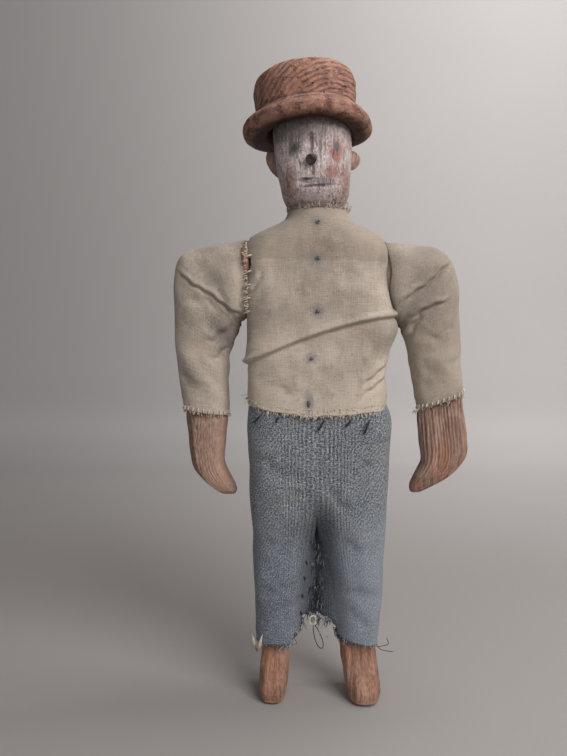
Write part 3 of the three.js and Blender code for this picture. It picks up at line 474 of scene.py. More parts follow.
def twill_material(name, colours):
    """Twill: light slanting ribs broken into flecks on a dark blue-grey ground, paler low on the left leg,
    darkened between the legs by dirt and painted shade.
    """
    made, wire, place = start_material(name)
    across, along = wire.cloth()
    x, _, z = place.parts()
    drift = wire.noise(place, 0.06, 3.0)
    rib = ((along * 0.5 - across * 0.87) / 1.3 + drift * 2.4).wave()
    warp = (across / 1.2 + drift * 1.6).wave()
    weft = (along / 0.9).wave()
    fleck = wire.streaks((across, along, 0), (1.7, 1.2, 0), 4.0, 0.75, shift=3)
    worn = wire.noise(place, 0.05, 4.0)
    side = x.rise(2.0, 14.0) * (1 - z.rise(70.0, 110.0))
    outward = (x * x).rise(90.0, 420.0)
    ribs = rib * outward + warp * (1 - outward)
    light = ribs * 0.3 + weft * 0.1 + fleck * 6.2 + worn * 0.7 + side * 0.25 - 3.22
    base = wire.mix(light.rise(0.0, 1.0), colours.twill_dark, colours.twill_light)
    tan = wire.noise(place, 0.1, 4.0).rise(0.52, 0.72)
    blue = 1 - z.rise(60, 105)
    base = wire.coats(base, [(tan * 0.3, srgb(112, 106, 92)), (blue * 0.3, srgb(98, 110, 136))])
    base = wire.mix(side, base, (0.046, 0.052, 0.066), "ADD")
    dust = wire.noise(place, 1.7, 2.0).rise(0.56, 0.66)
    # Dirt and painted shade between the legs, below the crotch.
    between = (1 - (x * x).rise(4.0, 110.0)) * (1 - z.rise(80.0, 106.0))
    base = wire.coats(base, [
        (dust * 0.7, shade(colours.twill_light, 1.5)),
        (between * 0.6, shade(colours.twill_dark, 0.4)),
    ])
    height = ribs * 0.3 + warp * weft * 0.2 + fleck * 0.6
    return finish_material(made, wire, base, 0.92, height, 0.8, 0.1, 0.15)


def wood_material(name, strength, light, dark, painted_lit_side=None):
    """Bare wood with upright grain: streaks of a given strength, flecks, pores, and a painted highlight that
    makes the side facing the light pale.
    """
    made, wire, place = start_material(name)
    parts = place.parts()
    grain = wire.streaks(parts, (0.5, 0.28, 0.015), 4.0, 0.6, 0.2)
    streak = wire.streaks(parts, (1.5, 0.4, 0.022), 4.0, 0.6)
    fleck = wire.streaks(parts, (1.8, 0.9, 0.4), 3.0, 0.6)
    pore = wire.streaks(parts, (1.6, 0.4, 0.04)).rise(0.6, 0.7)
    worn = wire.noise(place, 0.12, 3.0).rise(0.48, 0.68)
    rust = wire.streaks(parts, (0.2, 0.1, 0.03)).rise(0.45, 0.65)
    long = (grain * 0.9 + streak * 1.1 - 1.0) * strength
    tone = (long + (fleck - 0.5) * (1.6 - strength) + 0.5).rise(0.05, 0.95)
    layers = [
        (rust * 0.3, srgb(176, 116, 84)),
        (worn * 0.4, srgb(186, 156, 142)),
        (pore * (0.3 * strength), shade(dark, 0.6)),
    ]
    # Painted highlight: the side of the arm that faces the light is made paler.
    if painted_lit_side:
        layers.append((parts[0].rise(*painted_lit_side) * 0.3, srgb(206, 174, 154)))
    base = wire.coats(wire.mix(tone, dark, light), layers)
    height = (streak * 0.8 + grain * 0.3 - pore * 0.5) * strength + fleck * (1.3 - strength)
    return finish_material(made, wire, base, 0.66, height, 0.5, 0.25)


def hat_material(name, colours):
    """Stained wood: growth rings about a line from front to back, fibres, blotches, grime, worm holes and
    painted shade under the brim.
    """
    made, wire, place = start_material(name)
    _, along = wire.cloth()
    x, y, z = place.parts()
    bend = wire.noise(place, 0.05, 3.0)
    from_x, from_z = x - 13.0, z - 256.0
    distance = (from_x * from_x + from_z * from_z + y * y * 0.12) ** 0.5
    late = (distance / 2.2 + bend * 2.4 + y * 0.05).wave()
    fibre = wire.streaks((from_x, y, distance), (0.25, 0.12, 1.9), 4.0, 0.6)
    blotch = wire.noise(place, 0.13, 5.0, 0.65)
    weak = wire.noise(place, 0.12, 2.0).rise(0.3, 0.6)
    crown = along.rise(54.0, 58.0)
    # Painted shade under the brim: the underside is made dark.
    underside = 1 - along.rise(17.0, 27.0)
    ring = (late ** 1.6) * (weak * 0.7 + 0.3) * (crown * 0.85 + 0.15)
    dark = (ring * 0.5 + fibre * 0.9 + blotch * 0.9 - 0.72).rise(0.0, 1.0)
    amber = wire.streaks((x, y, distance), (0.08, 0.08, 0.45)).rise(0.5, 0.68)
    plum = wire.noise(place, 0.09, 4.0, 0.6).rise(0.46, 0.64) * (1 - along.rise(62.0, 80.0))
    grime = wire.noise(place, 0.22, 5.0, 0.7).rise(0.5, 0.64) * 0.6
    pale = wire.noise(place, 0.35, 4.0).rise(0.54, 0.66) * 0.38
    groove = along.rise(55.2, 56.4) * (1 - along.rise(56.6, 57.8))
    holes = wire.node("ShaderNodeTexVoronoi", None, {"Vector": place, "Scale": 0.22, "Randomness": 1.0})
    hole = 1 - holes.rise(0.05, 0.1)
    # The dark ring colour; it also tints the painted shade under the brim.
    stain = colours.hat_ring
    base = wire.coats(wire.mix(dark, colours.hat_wood, shade(stain, 1.15)), [
        (amber * 0.4, srgb(184, 130, 92)),
        (plum * 0.45, srgb(112, 80, 80)),
        ((1 - crown) * 0.2, shade(stain, 1.2)),
        (grime * (0.95 - crown * 0.45), shade(stain, 0.6)),
        (underside * 0.85, shade(stain, 0.3)),
        (pale * (1 - underside), srgb(182, 152, 134)),
        (groove * 0.55, srgb(176, 160, 146)),
        (hole * 0.8, shade(stain, 0.35)),
    ])
    height = fibre * 0.8 - ring * 0.4 + blotch * 0.8 - grime * 0.8 - hole * 0.9
    return finish_material(made, wire, base, 0.68, height, 1.2, 0.22)


# Marks on the face in the front view: middle, reach, softness of the edge, strength and screen colour.
FACE_MARKS = [
    ((-12, 264), (10, 5.0), 0.7, 0.6, (80, 76, 72)),  # shadow under the brim
    ((-10.2, 256.4), (2.8, 3.0), 0.6, 0.8, (84, 86, 82)),  # right eye and its pupil
    ((-10.0, 256.8), (1.2, 1.4), 0.5, 0.8, (62, 66, 66)),
    ((8.2, 256.8), (3.5, 4.0), 0.35, 0.7, (168, 114, 98)),  # left eye's red ground, its run and its pupil
    ((8.2, 253.2), (1.9, 2.8), 0.4, 0.7, (160, 102, 86)),
    ((8.2, 257.4), (1.25, 2.1), 0.4, 0.9, (92, 104, 120)),
    ((6.6, 246.5), (3.4, 3.0), 0.6, 0.7, (140, 88, 78)),  # stains on the cheeks
    ((-12.5, 243), (2.6, 6), 0.6, 0.6, (150, 104, 80)),
    ((12.6, 243), (2.4, 6), 0.6, 0.6, (142, 100, 84)),
    ((-2.4, 258.5), (1.0, 4.5), 0.5, 0.8, (84, 66, 60)),  # cracks above and below the nose
    ((1.2, 257.5), (0.8, 3.6), 0.5, 0.7, (88, 70, 64)),
    ((-1.8, 246.8), (0.6, 2.8), 0.5, 0.8, (84, 68, 64)),
    ((-4.6, 242.6), (3.2, 1.1), 0.4, 0.75, (104, 98, 102)),  # moustache and mouth
    ((3.0, 242.2), (3.6, 1.9), 0.4, 0.75, (112, 106, 112)),
    ((-0.6, 240.4), (6.4, 0.7), 0.5, 0.7, (76, 66, 66)),
    ((-4.6, 243.7), (3.4, 0.5), 0.4, 0.85, (66, 56, 56)),
    ((-0.5, 236.8), (6.5, 2.9), 0.5, 0.8, (186, 170, 170)),  # pale chin and the line under it
    ((-1, 233.0), (14, 1.6), 0.5, 0.4, (120, 94, 84)),
]


def face_material(name, colours):
    """Worn pale paint on the head, with its fibres and cracks, the marks of the face on its front, and a
    painted shadow under the brim.
    """
    made, wire, place = start_material(name)
    parts = place.parts()
    x, y, z = parts
    front = (0 - y).rise(2, 8)
    fibre = wire.streaks(parts, (0.8, 0.8, 0.16), 5.0, 0.65, 0.5)
    patch = wire.noise(place, 0.2, 4.0, 0.6)
    grain = wire.streaks(parts, (1.6, 1.6, 0.7))
    crack = wire.streaks(parts, (0.8, 0.8, 0.05), 4.0, 0.6, shift=4).rise(0.6, 0.68)
    chalk = wire.streaks(parts, (1.0, 1.0, 0.16), 4.0, 0.6, shift=9).rise(0.52, 0.66)
    jaw = 1 - (z + (patch - 0.5) * 16).rise(236.0, 243.0)
    tone = (fibre * 0.55 + grain * 0.6 + patch * 0.4 - 0.25).rise(0.05, 0.9)
    base = wire.mix(tone, shade(colours.face_paint, 0.55), shade(colours.face_paint, 1.3))
    pink = wire.streaks(parts, (0.3, 0.3, 0.12), 4.0, 0.6, shift=20).rise(0.46, 0.62)
    marks = wire.streaks(parts, (0.7, 0.7, 0.35), 4.0, 0.65).rise(0.5, 0.62)
    vein = wire.streaks(parts, (0.45, 0.45, 0.28)) - 0.5
    craze = 1 - (vein * vein).rise(0.0002, 0.0014)
    vein = wire.streaks(parts, (0.5, 0.5, 0.22), shift=31) - 0.5
    flake = 1 - (vein * vein).rise(0.0004, 0.002)
    # Painted shadow of the brim across the top of the face.
    brim_shadow = (z + x * 0.05 + (patch - 0.5) * 5).rise(265.5, 269.5) * front
    layers = [
        (patch.rise(0.48, 0.66) * 0.4, srgb(150, 116, 106)),
        (pink * 0.35, srgb(190, 164, 164)),
        (jaw * 0.3, srgb(168, 130, 118)),
        (marks * (jaw * 0.25 + 0.2), srgb(126, 92, 82)),
        (chalk * 0.5, shade(colours.face_paint, 1.75)),
        (craze * (jaw * 0.35 + 0.25), srgb(104, 78, 70)),
        (flake * 0.5, srgb(206, 194, 190)),
        (brim_shadow * 0.64, srgb(66, 60, 56)),
    ]
    wobble = (patch - 0.5) * 1.3 + (grain - 0.5) * 0.9
    for middle, reach, softness, share, tint in FACE_MARKS:
        layers.append((spot(x, z, middle, reach, softness, wobble) * front * share, srgb(*tint)))
    layers.append((crack * 0.32, shade(colours.hat_ring, 0.8)))
    height = fibre * 0.9 + grain * 0.35 + chalk * 0.3 + flake * 0.3 - crack * 0.8 - craze * 0.4
    return finish_material(made, wire, wire.coats(base, layers), 0.75, height, 0.6, 0.2)


def nose_material(name):
    """The dark end of the nose peg, with a grey remnant of paint high on the doll's left."""
    made, wire, place = start_material(name)
    x, _, z = place.parts()
    rough = wire.noise(place, 0.9, 4.0, 0.6)
    remnant = (x * 0.6 + z * 0.8 - 200.3 + (rough - 0.5) * 3).rise(0.0, 1.0)
    base = wire.mix(rough, srgb(20, 17, 15), srgb(66, 56, 52))
    base = wire.mix(remnant * 0.7, base, srgb(120, 116, 116))
    return finish_material(made, wire, base, 0.8, rough, 0.6, 0.2)


def thread_material(name, tint):
    """Twisted thread: fine changes of tone along it."""
    made, wire, place = start_material(name)
    twist = wire.noise(place, 2.2, 2.0)
    worn = wire.noise(place, 0.25, 2.0)
    tone = (twist * 0.7 + worn * 0.5).rise(0.3, 0.9)
    base = wire.mix(tone, shade(tint, 0.6), shade(tint, 1.5))
    return finish_material(made, wire, base, 0.85, twist, 0.3, 0.15, 0.2)


def iron_material(name):
    """Dull dark iron with rust in patches."""
    made, wire, place = start_material(name)
    rust = wire.noise(place, 0.5, 4.0)
    base = wire.mix(rust.rise(0.4, 0.65), srgb(56, 52, 50), srgb(92, 62, 48))
    return finish_material(made, wire, base, 0.6 + rust * 0.2, rust, 0.3, 0.5)


def backdrop_material(name, colours):
    """Pale paper with faint mottling, painted shade towards the doll's right, and darker near the floor's
    front.
    """
    made, wire, place = start_material(name)
    mottle = wire.noise(place, 0.004, 3.0)
    tooth = wire.noise(place, 0.5, 3.0)
    x, y, z = place.parts()
    near = 1 - (y + z + (mottle - 0.5) * 60).rise(110.0, 560.0)
    base = wire.mix(mottle, shade(colours.backdrop, 0.94), shade(colours.backdrop, 1.04))
    base = wire.coats(base, [
        # Painted shade towards the doll's right.
        (1 - x.rise(-400.0, 300.0), shade(colours.backdrop, 0.66)),
        (near * 0.63, srgb(128, 122, 117)),
    ])
    return finish_material(made, wire, base, 0.95, tooth, 0.1, 0.1)


# Settings

def length_setting(label, description, millimetres):
    """A length with its default."""
    return FloatProperty(name=label, description=description, default=millimetres * MM, unit="LENGTH")


def colour_setting(label, description, *screen):
    """A colour with its default, given by its screen values."""
    return FloatVectorProperty(name=label, description=description, default=srgb(*screen), subtype="COLOR")


class DollSizes(bpy.types.PropertyGroup):
    """Sizes that change how worn and how coarse the doll looks."""

    linen: length_setting("Linen", "Thickness of the shirt's cloth", 0.9)
    twill: length_setting("Twill", "Thickness of the trousers' cloth", 1.1)
    fold: length_setting("Fold", "Rise of the fold across the shirt", 1.9)
    carving: length_setting("Carving", "Depth of the knife marks on the arms and legs", 0.45)
    crack: length_setting("Cracks", "Depth of the cracks in the head", 0.7)
    fray: length_setting("Fray", "Length of the loose threads at cut edges", 2.4)
    stitch: length_setting("Stitches", "Thickness of the sewing thread", 0.75)


class DollColours(bpy.types.PropertyGroup):
    """The doll's colours as linear light."""

    linen: colour_setting("Linen", "The shirt", 172, 159, 146)
    # Also used for the painted shade on the sleeves near the armholes.
    stain: colour_setting("Stains", "Dirt in the linen", 96, 84, 72)
    twill_dark: colour_setting("Twill ground", "The trousers between the ribs", 68, 75, 84)
    twill_light: colour_setting("Twill ribs", "The trousers' light flecks", 150, 153, 156)
    wood_light: colour_setting("Light wood", "Bare wood between its streaks", 180, 136, 114)
    wood_dark: colour_setting("Dark wood", "Streaks of the bare wood", 90, 68, 58)
    hat_wood: colour_setting("Hat", "The hat's wood", 172, 126, 110)
    hat_ring: colour_setting("Hat rings", "Dark growth rings of the hat", 84, 58, 52)
    face_paint: colour_setting("Face paint", "Worn paint on the head", 196, 181, 179)
    dark_thread: colour_setting("Dark thread", "Trouser stitches", 46, 48, 56)
    button_thread: colour_setting("Button thread", "Faded thread of the button knots", 92, 92, 100)
    light_thread: colour_setting("Light thread", "Stitches in the linen", 196, 184, 166)
    backdrop: colour_setting("Backdrop", "Floor and wall", 196, 192, 191)


def made_material(name, maker, *settings):
    """The material of that name, made the first time it is asked for."""
    return bpy.data.materials.get(name) or maker(name, *settings)


def bare_wood(colours):
    """The wood of the legs, the bare shoulder and the pieces inside."""
    return made_material("doll_bare_wood", wood_material, 0.65, colours.wood_light, colours.wood_dark)


# The material slot of each kind of thread in the fringes and stitches.
THREAD_SLOTS = {"light": "linen", "collar": "linen", "twill": "twill", "dark": "thread"}


def thread(colours, kind):
    """The thread of one kind."""
    tints = {
        "light": colours.light_thread, "collar": shade(colours.linen, 0.75), "twill": colours.twill_light,
        "dark": colours.dark_thread, "seam": shade(colours.stain, 0.8), "button": colours.button_thread,
    }
    return made_material("doll_%s_thread" % kind, thread_material, tints[kind])


def settle(made, body, slot, *nodes):
    """Ties a finished piece to its body and hides the solids it takes the place of. The slot is not used."""
    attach(made, body)
    if nodes:
        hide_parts(*nodes)


# Pieces

class DOLL_OT_hat(bpy.types.Operator):
    """The hat: a profile turned about the crown's middle line, a little oval and uneven, and tipped."""

    bl_idname = "doll.hat"
    bl_label = "Hat"

    def execute(self, context):
        colours = context.scene.doll_colours
        # Share of the way from the brim's underside to the crown, radius and height.
        profile = [
            (0.00, 16.5, -8.0), (0.06, 18.6, -12.6), (0.14, 22.0, -14.2), (0.22, 26.0, -14.4),
            (0.30, 28.6, -13.0), (0.36, 29.3, -10.4), (0.42, 28.7, -7.8), (0.47, 26.8, -5.8),
            (0.52, 24.2, -4.3), (0.56, 22.7, -3.0), (0.60, 22.7, -0.6), (0.68, 23.0, 4.0),
            (0.76, 22.9, 8.6), (0.83, 21.2, 12.4), (0.90, 16.0, 14.8), (0.96, 7.0, 15.7), (1.00, 0.0, 15.9),
        ]
        rows, columns = 170, 260
        t = np.linspace(0, 1, rows)
        radius, height = through(profile, t)
        radius[-1] = 0
        angle = round_angles(columns)
        groove = -0.55 * bump(t - 0.565, 0.007)
        wear = uneven(angle[None, :] * 23, height[:, None], 3, 60, 7) * 0.35
        knife = uneven(angle[None, :] * 23, height[:, None] * 2, 8, 9, 2.5) * 0.08
        reach = radius[:, None] + (wear + knife + groove[:, None]) * step_up(radius, 0, 8)[:, None]
        tall = height[:, None] + uneven(np.cos(angle) * 20, np.sin(angle) * 20, 5, 70, 20)[None, :] * 0.4
        below = (1 - step_up(t, 0.34, 0.48)) * step_up(t, 0.02, 0.1)
        tall = tall + 2.4 * np.maximum(0, -np.sin(angle))[None, :] ** 1.5 * below[:, None]
        brim = (1 - step_up(t, 0.42, 0.54)) * step_up(t, 0.02, 0.14)
        tall = tall - 2.2 * np.maximum(0, np.cos(angle))[None, :] ** 2 * brim[:, None]
        x, y, z = reach * np.cos(angle), reach * np.sin(angle) * 1.04, tall
        tip, lean = math.radians(-3), math.radians(-1)
        y, z = y * math.cos(tip) - z * math.sin(tip), y * math.sin(tip) + z * math.cos(tip)
        x, z = x * math.cos(lean) + z * math.sin(lean), -x * math.sin(lean) + z * math.cos(lean)
        z[-1] = z[-1].mean()
        seat_x, seat_z = -2.0, 53.0
        points = head_place(np.stack([x + seat_x, y, z + seat_z], axis=-1))
        material = made_material("doll_hat_wood", hat_material, colours)
        made = grid_piece("turned_hat", points, material, (144.0, 100.0), poles=True)
        settle(made, "head", "hat_wood", "hat")
        return {"FINISHED"}


class DOLL_OT_head(bpy.types.Operator):
    """The head: level rings through the jaw, cheeks and crown, with eye hollows, mouth cuts and cracks."""

    bl_idname = "doll.head"
    bl_label = "Head"

    def execute(self, context):
        sizes, colours = context.scene.doll_sizes, context.scene.doll_colours
        # Height, half the width, reach to the front and to the back, and how square the ring is.
        stations = [
            (0.0, 12.2, 12.2, 12.2, 2.0), (5.5, 12.4, 12.6, 12.3, 2.05), (8.6, 14.0, 15.2, 13.2, 2.2),
            (11.5, 15.1, 17.0, 14.6, 2.3), (17.7, 16.2, 17.9, 16.5, 2.3), (25.65, 17.3, 18.3, 18.2, 2.3),
            (35.3, 17.7, 18.3, 18.8, 2.3), (46.7, 16.5, 17.2, 17.7, 2.3), (53.6, 13.0, 13.5, 13.9, 2.2),
            (HEAD_HEIGHT, 0.05, 0.05, 0.05, 2.0),
        ]
        mouth_cuts = [(-4.2, 16.6, 3.6, 0.45), (2.6, 13.6, 7.0, 0.55)]
        eyes = [(-9.0, 30.5), (9.6, 29.6)]
        cracks = [(1.5, 29, 36), (5.0, 26, 34), (-6.5, 20, 27), (12.5, 8, 20), (-12.6, 9, 24)]
        rows, columns = 190, 330
        z = np.linspace(0, HEAD_HEIGHT, rows)
        width, front, back, power = through(stations, z)
        angle = round_angles(columns)
        points = level_rings(angle, z, width, width, front, back, power)
        x, y, up = np.moveaxis(points, -1, 0)
        face = step_up(-y, 4, 12)
        cut = face * sizes.crack / MM
        carve = uneven(angle[None, :] * 17, up * 0.5, 11, 30, 6) * 0.3
        carve += uneven(angle[None, :] * 17, up * 0.2, 12, 4.0, 1.2) * 0.07
        for middle, level, reach, thick in mouth_cuts:
            carve -= cut * bump(up - level - 0.02 * x, thick) * bump(x - middle, reach)
        for middle, level in eyes:
            hollow = bump(x - middle, 5.0) * bump(up - level - 1, 3.6)
            ball = bump(x - middle, 2.8) * bump(up - level, 2.6)
            carve += face * (0.9 * ball - 1.0 * hollow)
        for middle, low, high in cracks:
            line = bump(x - middle - 0.25 * np.sin(up * 0.9), 0.4)
            carve -= cut * line * step_up(up, low, low + 3) * (1 - step_up(up, high - 3, high))
        carve *= step_up(HEAD_HEIGHT - up, 1, 6)
        material = made_material("doll_face_paint", face_material, colours)
        made = grid_piece("carved_head", head_place(pushed(points, carve)), material, poles=True)
        settle(made, "head", "painted_wood", "head")
        return {"FINISHED"}


class DOLL_OT_ears_and_nose(bpy.types.Operator):
    """The ears, thin rounded slips set into the sides of the head, and the round peg of the nose."""

    bl_idname = "doll.ears_and_nose"
    bl_label = "Ears and nose"

    def ear(self, name, node, foot, height, reach, thick, lean, material):
        """A slip that is thickest at its middle: level rings that swell and close along its height."""
        rows, columns = 40, 32
        thinnest = 0.001
        t = np.linspace(0, 1, rows)
        swell = np.sin(np.pi * t) ** 0.6
        wide, deep = swell * reach + thinnest, swell * thick + thinnest
        points = level_rings(round_angles(columns), t * height, wide, wide, deep, deep, 2.2)
        points[..., 0] += foot[0] + lean * (points[..., 2] / height - 0.5)
        points[..., 0] += uneven(points[..., 1] * 2, points[..., 2], 21, 9, 2) * 0.15 * swell[:, None]
        points[..., 1:] += foot[1:]
        draw_ends_together(points)
        made = grid_piece(name, head_place(points), material, poles=True)
        settle(made, "head", "bare_wood", node)

    def execute(self, context):
        wood = made_material("doll_ear_wood", wood_material, 0.5, srgb(178, 148, 136), srgb(104, 80, 72))
        self.ear("ear_on_the_left", "left_ear", (17.8, 0.5, 22.5), 8.6, 3.6, 2.0, 0.8, wood)
        self.ear("ear_on_the_right", "right_ear", (-18.1, 0.5, 21.5), 12.9, 3.3, 2.0, -4.0, wood)
        profile = [(0.0, 2.2, 0.0), (0.5, 2.3, 3.2), (0.8, 2.1, 3.6), (0.9, 1.5, 3.4), (1.0, 0.0, 2.8)]
        rows, columns = 40, 40
        root_x, root_y, root_z = -1.0, -16.6, 25.0
        radius, out = through(profile, np.linspace(0, 1, rows))
        radius[-1] = 0
        angle = np.linspace(0, 2 * np.pi, columns, endpoint=False)
        reach = radius[:, None] * (1 + 0.06 * np.sin(2 * angle + 1) + 0.03 * np.sin(3 * angle))
        x, z = reach * np.cos(angle) + root_x, reach * np.sin(angle) + root_z
        y = np.broadcast_to(root_y - out[:, None], reach.shape)
        points = np.stack([x, y, z], axis=-1)
        dark = made_material("doll_nose_wood", nose_material)
        made = grid_piece("nose_peg_end", head_place(points), dark, poles=True)
        settle(made, "head", "bare_wood", "nose_peg")
        return {"FINISHED"}


# Creases on the front of the shirt: start and end in the front view, width and depth.
SHIRT_CREASES = [
    ((32, 162), (21, 151), 1.0, 1.2), ((32, 156.5), (20, 146), 1.0, 1.0),
    ((-25, 202), (-31.2, 192.5), 0.9, 0.9), ((12, 190), (28, 196), 2.2, 0.35),
    ((-20, 152), (-4, 147), 2.0, 0.3),
]


def shirt_points(sizes):
    """The shirt's outside: level rings from hem to collar, pushed out by the fold, creases and slack."""
    # Way along the cloth, height, reach to the left and right, half the depth, and how square the ring is.
    stations = [
        (0, 138.6, 33.3, 33.0, 20.4, 3.8), (10, 148, 32.6, 32.4, 19.6, 4.0),
        (36, 174.8, 33.0, 32.5, 19.9, 4.2), (62, 200.8, 32.5, 32.5, 19.8, 4.2),
        (78, 216.0, 31.6, 32.4, 18.4, 3.4), (82.5, 219.4, 29.0, 30.6, 17.3, 3.0),
        (88, 222.8, 23.4, 24.4, 16.2, 2.6), (95, 227.4, 15.6, 15.6, 14.6, 2.2),
        (SHIRT_LENGTH, 231.6, 13.7, 13.5, 13.7, 2.0),
    ]
    rows, columns = 215, 320
    along = np.linspace(0, SHIRT_LENGTH, rows)
    z, plus, minus, depth, power = through(stations, along)
    angle = round_angles(columns)
    points = level_rings(angle, z, plus, minus, depth, depth, power)
    hem = 1 - step_up(along, 0, 14)[:, None]
    side = np.abs(np.cos(angle))[None, :]
    wave = uneven(angle * 27, 0 * angle, 31, 60, 8)[None, :]
    lift = 2.6 + 3.0 * step_up(-np.cos(angle), 0, 0.9)[None, :]
    points[..., 2] += hem * (lift * side ** 3 + 0.8 * wave)
    points[..., 0] *= 1 - 0.04 * (1 - step_up(along, 0, 9))[:, None] * side ** 2
    x, y, up = np.moveaxis(points, -1, 0)
    front = step_up(-y, -6, 8)
    above = up - (FOLD_MIDDLE + 0.34 * x - 0.0026 * x * x)
    ridge = 0.75 * bump(above - 1.4, 1.3) + 0.45 * step_up(above, -0.8, 0.6) * bump(above, 8)
    under = -0.3 * bump(above + 0.7, 0.8)
    push = front * sizes.fold / MM * (ridge + under)
    push += 4.2 * bump(up - 178, 7.5) * step_up(x, 20, 33) * step_up(-y, -16, 2)
    for line in SHIRT_CREASES:
        push += crease(x, up, *line) * front
    slack = uneven(angle[None, :] * 27, up, 33, 55, 9) * 0.5
    push += slack * step_up(along, 0, 20)[:, None] * (1 - step_up(along, 78, 98))[:, None]
    return pushed(points, push)


class DOLL_OT_shirt(bpy.types.Operator):
    """The shirt's body: a tube of linen from hem to collar, its edges turned in, torn open at one armhole."""

    bl_idname = "doll.shirt"
    bl_label = "Shirt"

    def execute(self, context):
        sizes, colours = context.scene.doll_sizes, context.scene.doll_colours
        outside = shirt_points(sizes)
        points = turned_in(outside, sizes.linen / MM, 6)
        x, y, z = np.moveaxis(points, -1, 0)
        tear = bump(z - 206.5, 3.2 + 0.5 * np.sin(9 * z)) * step_up(-x, 29.2, 30.6) * step_up(-y, 9, 11)
        material = made_material("doll_shirt_linen", linen_material, colours, YOKE_LEVEL)
        span = (180.0, SHIRT_LENGTH * len(points) / len(outside))
        made = grid_piece("shirt_body", points, material, span, hole=tear > 0.55)
        settle(made, "torso", "linen", "shirt_front", "shirt_back")
        return {"FINISHED"}


# Lines of each sleeve in the front view, from the armhole to the cuff: share of the way, then the
# outer line's x and height, the inner line's x and height, and half the depth.
SLEEVE_LINES = {
    "right": [
        (0.00, -27.6, 217.6, -27.6, 184.6, 10.0), (0.05, -32.6, 218.6, -32.0, 182.8, 12.6),
        (0.10, -39.0, 217.8, -34.2, 181.0, 14.8), (0.16, -47.5, 216.4, -35.2, 180.4, 15.2),
        (0.25, -57.2, 214.6, -36.0, 179.4, 14.2), (0.36, -64.8, 209.6, -36.8, 177.6, 13.8),
        (0.45, -67.0, 199.0, -37.8, 174.6, 13.3), (0.55, -67.3, 189.0, -39.6, 170.0, 12.6),
        (0.68, -66.6, 174.0, -41.9, 162.5, 11.4), (0.84, -65.0, 156.0, -42.4, 150.0, 10.2),
        (1.00, -63.3, 139.4, -41.6, 136.8, 9.6),
    ],
    "left": [
        (0.00, 26.6, 217.0, 27.6, 184.6, 10.0), (0.05, 31.6, 217.0, 32.8, 182.8, 12.6),
        (0.10, 37.6, 216.8, 35.0, 180.8, 14.8), (0.16, 45.0, 215.7, 36.2, 180.0, 15.2),
        (0.25, 53.0, 214.5, 37.4, 179.2, 14.2), (0.36, 60.9, 208.8, 38.8, 177.8, 13.8),
        (0.45, 64.4, 199.5, 39.8, 175.0, 13.3), (0.55, 65.5, 190.0, 41.5, 170.0, 12.6),
        (0.68, 66.1, 176.0, 43.6, 162.0, 11.4), (0.84, 66.9, 161.0, 45.3, 151.5, 10.2),
        (1.00, 68.7, 147.2, 47.2, 140.2, 9.6),
    ],
}
# Creases of each sleeve: start and end in the front view, width and depth.
SLEEVE_CREASES = {
    "right": [
        ((-64, 202.5), (-35, 183.5), 0.75, 0.85), ((-62, 192), (-44, 187), 2.2, 0.5),
        ((-49, 172), (-38, 178), 1.6, 0.9), ((-46, 163), (-41, 170), 1.2, 0.7),
        ((-64, 166), (-60, 150), 2.4, 0.4), ((-50, 150), (-44, 160), 2.6, 0.5),
    ],
    "left": [
        ((60, 206.5), (38, 188.5), 0.8, 1.4), ((58, 190.5), (43, 183), 0.8, 1.3),
        ((46, 184), (42, 172), 1.1, 1.0), ((62, 180), (52, 172), 2.4, 0.5),
        ((52, 152), (47, 163), 2.4, 0.5), ((65, 166), (61, 154), 2.2, 0.4),
    ],
}
SLEEVE_SEEDS = {"right": 41, "left": 43}


def sleeve_points(side):
    """A sleeve's outside from cuff to armhole: rings spanned between its outer and inner lines."""
    rows, columns, squareness = 190, 220, 2.5
    share = np.linspace(1, 0, rows)
    out_x, out_z, in_x, in_z, depth = through(SLEEVE_LINES[side], share)
    angle = round_angles(columns)
    radius = oblong_reach(np.cos(angle), np.sin(angle), 1.0, 1.0, squareness)
    across = SIDES[side] * radius * np.cos(angle) / 2
    x = ((out_x + in_x) / 2)[:, None] + (out_x - in_x)[:, None] * across
    z = ((out_z + in_z) / 2)[:, None] + (out_z - in_z)[:, None] * across
    y = depth[:, None] * radius * np.sin(angle)
    push = np.zeros(x.shape)
    both = step_up(np.abs(y), 2, 8) * np.where(y < 0, 1.0, 0.8)
    for line in SLEEVE_CREASES[side]:
        push += crease(x, z, *line) * both
    middle = (step_up(share, 0, 0.1) * (1 - step_up(share, 0.93, 1)))[:, None]
    around, along, seed = angle[None, :] * 14, share[:, None], SLEEVE_SEEDS[side]
    push += uneven(around, along * 95, seed, 45, 9) * 0.55 * middle
    push += 0.25 * uneven(around, along * 20, seed + 1, 8, 4) * (1 - middle)
    return pushed(np.stack([x, y, z], axis=-1), push)


class DOLL_OT_sleeves(bpy.types.Operator):
    """The sleeves: tubes of linen that turn down from the armholes and are creased at the bend."""

    bl_idname = "doll.sleeves"
    bl_label = "Sleeves"

    def execute(self, context):
        sizes, colours = context.scene.doll_sizes, context.scene.doll_colours
        material = made_material("doll_sleeve_linen", linen_material, colours, 0.0)
        for side, out in SIDES.items():
            points = turned_in(sleeve_points(side), sizes.linen / MM, 5)
            made = grid_piece(side + "_sleeve_cloth", points, material, (88.0, 92.0))
            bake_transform(made)
            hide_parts(side + "_sleeve")
        return {"FINISHED"}


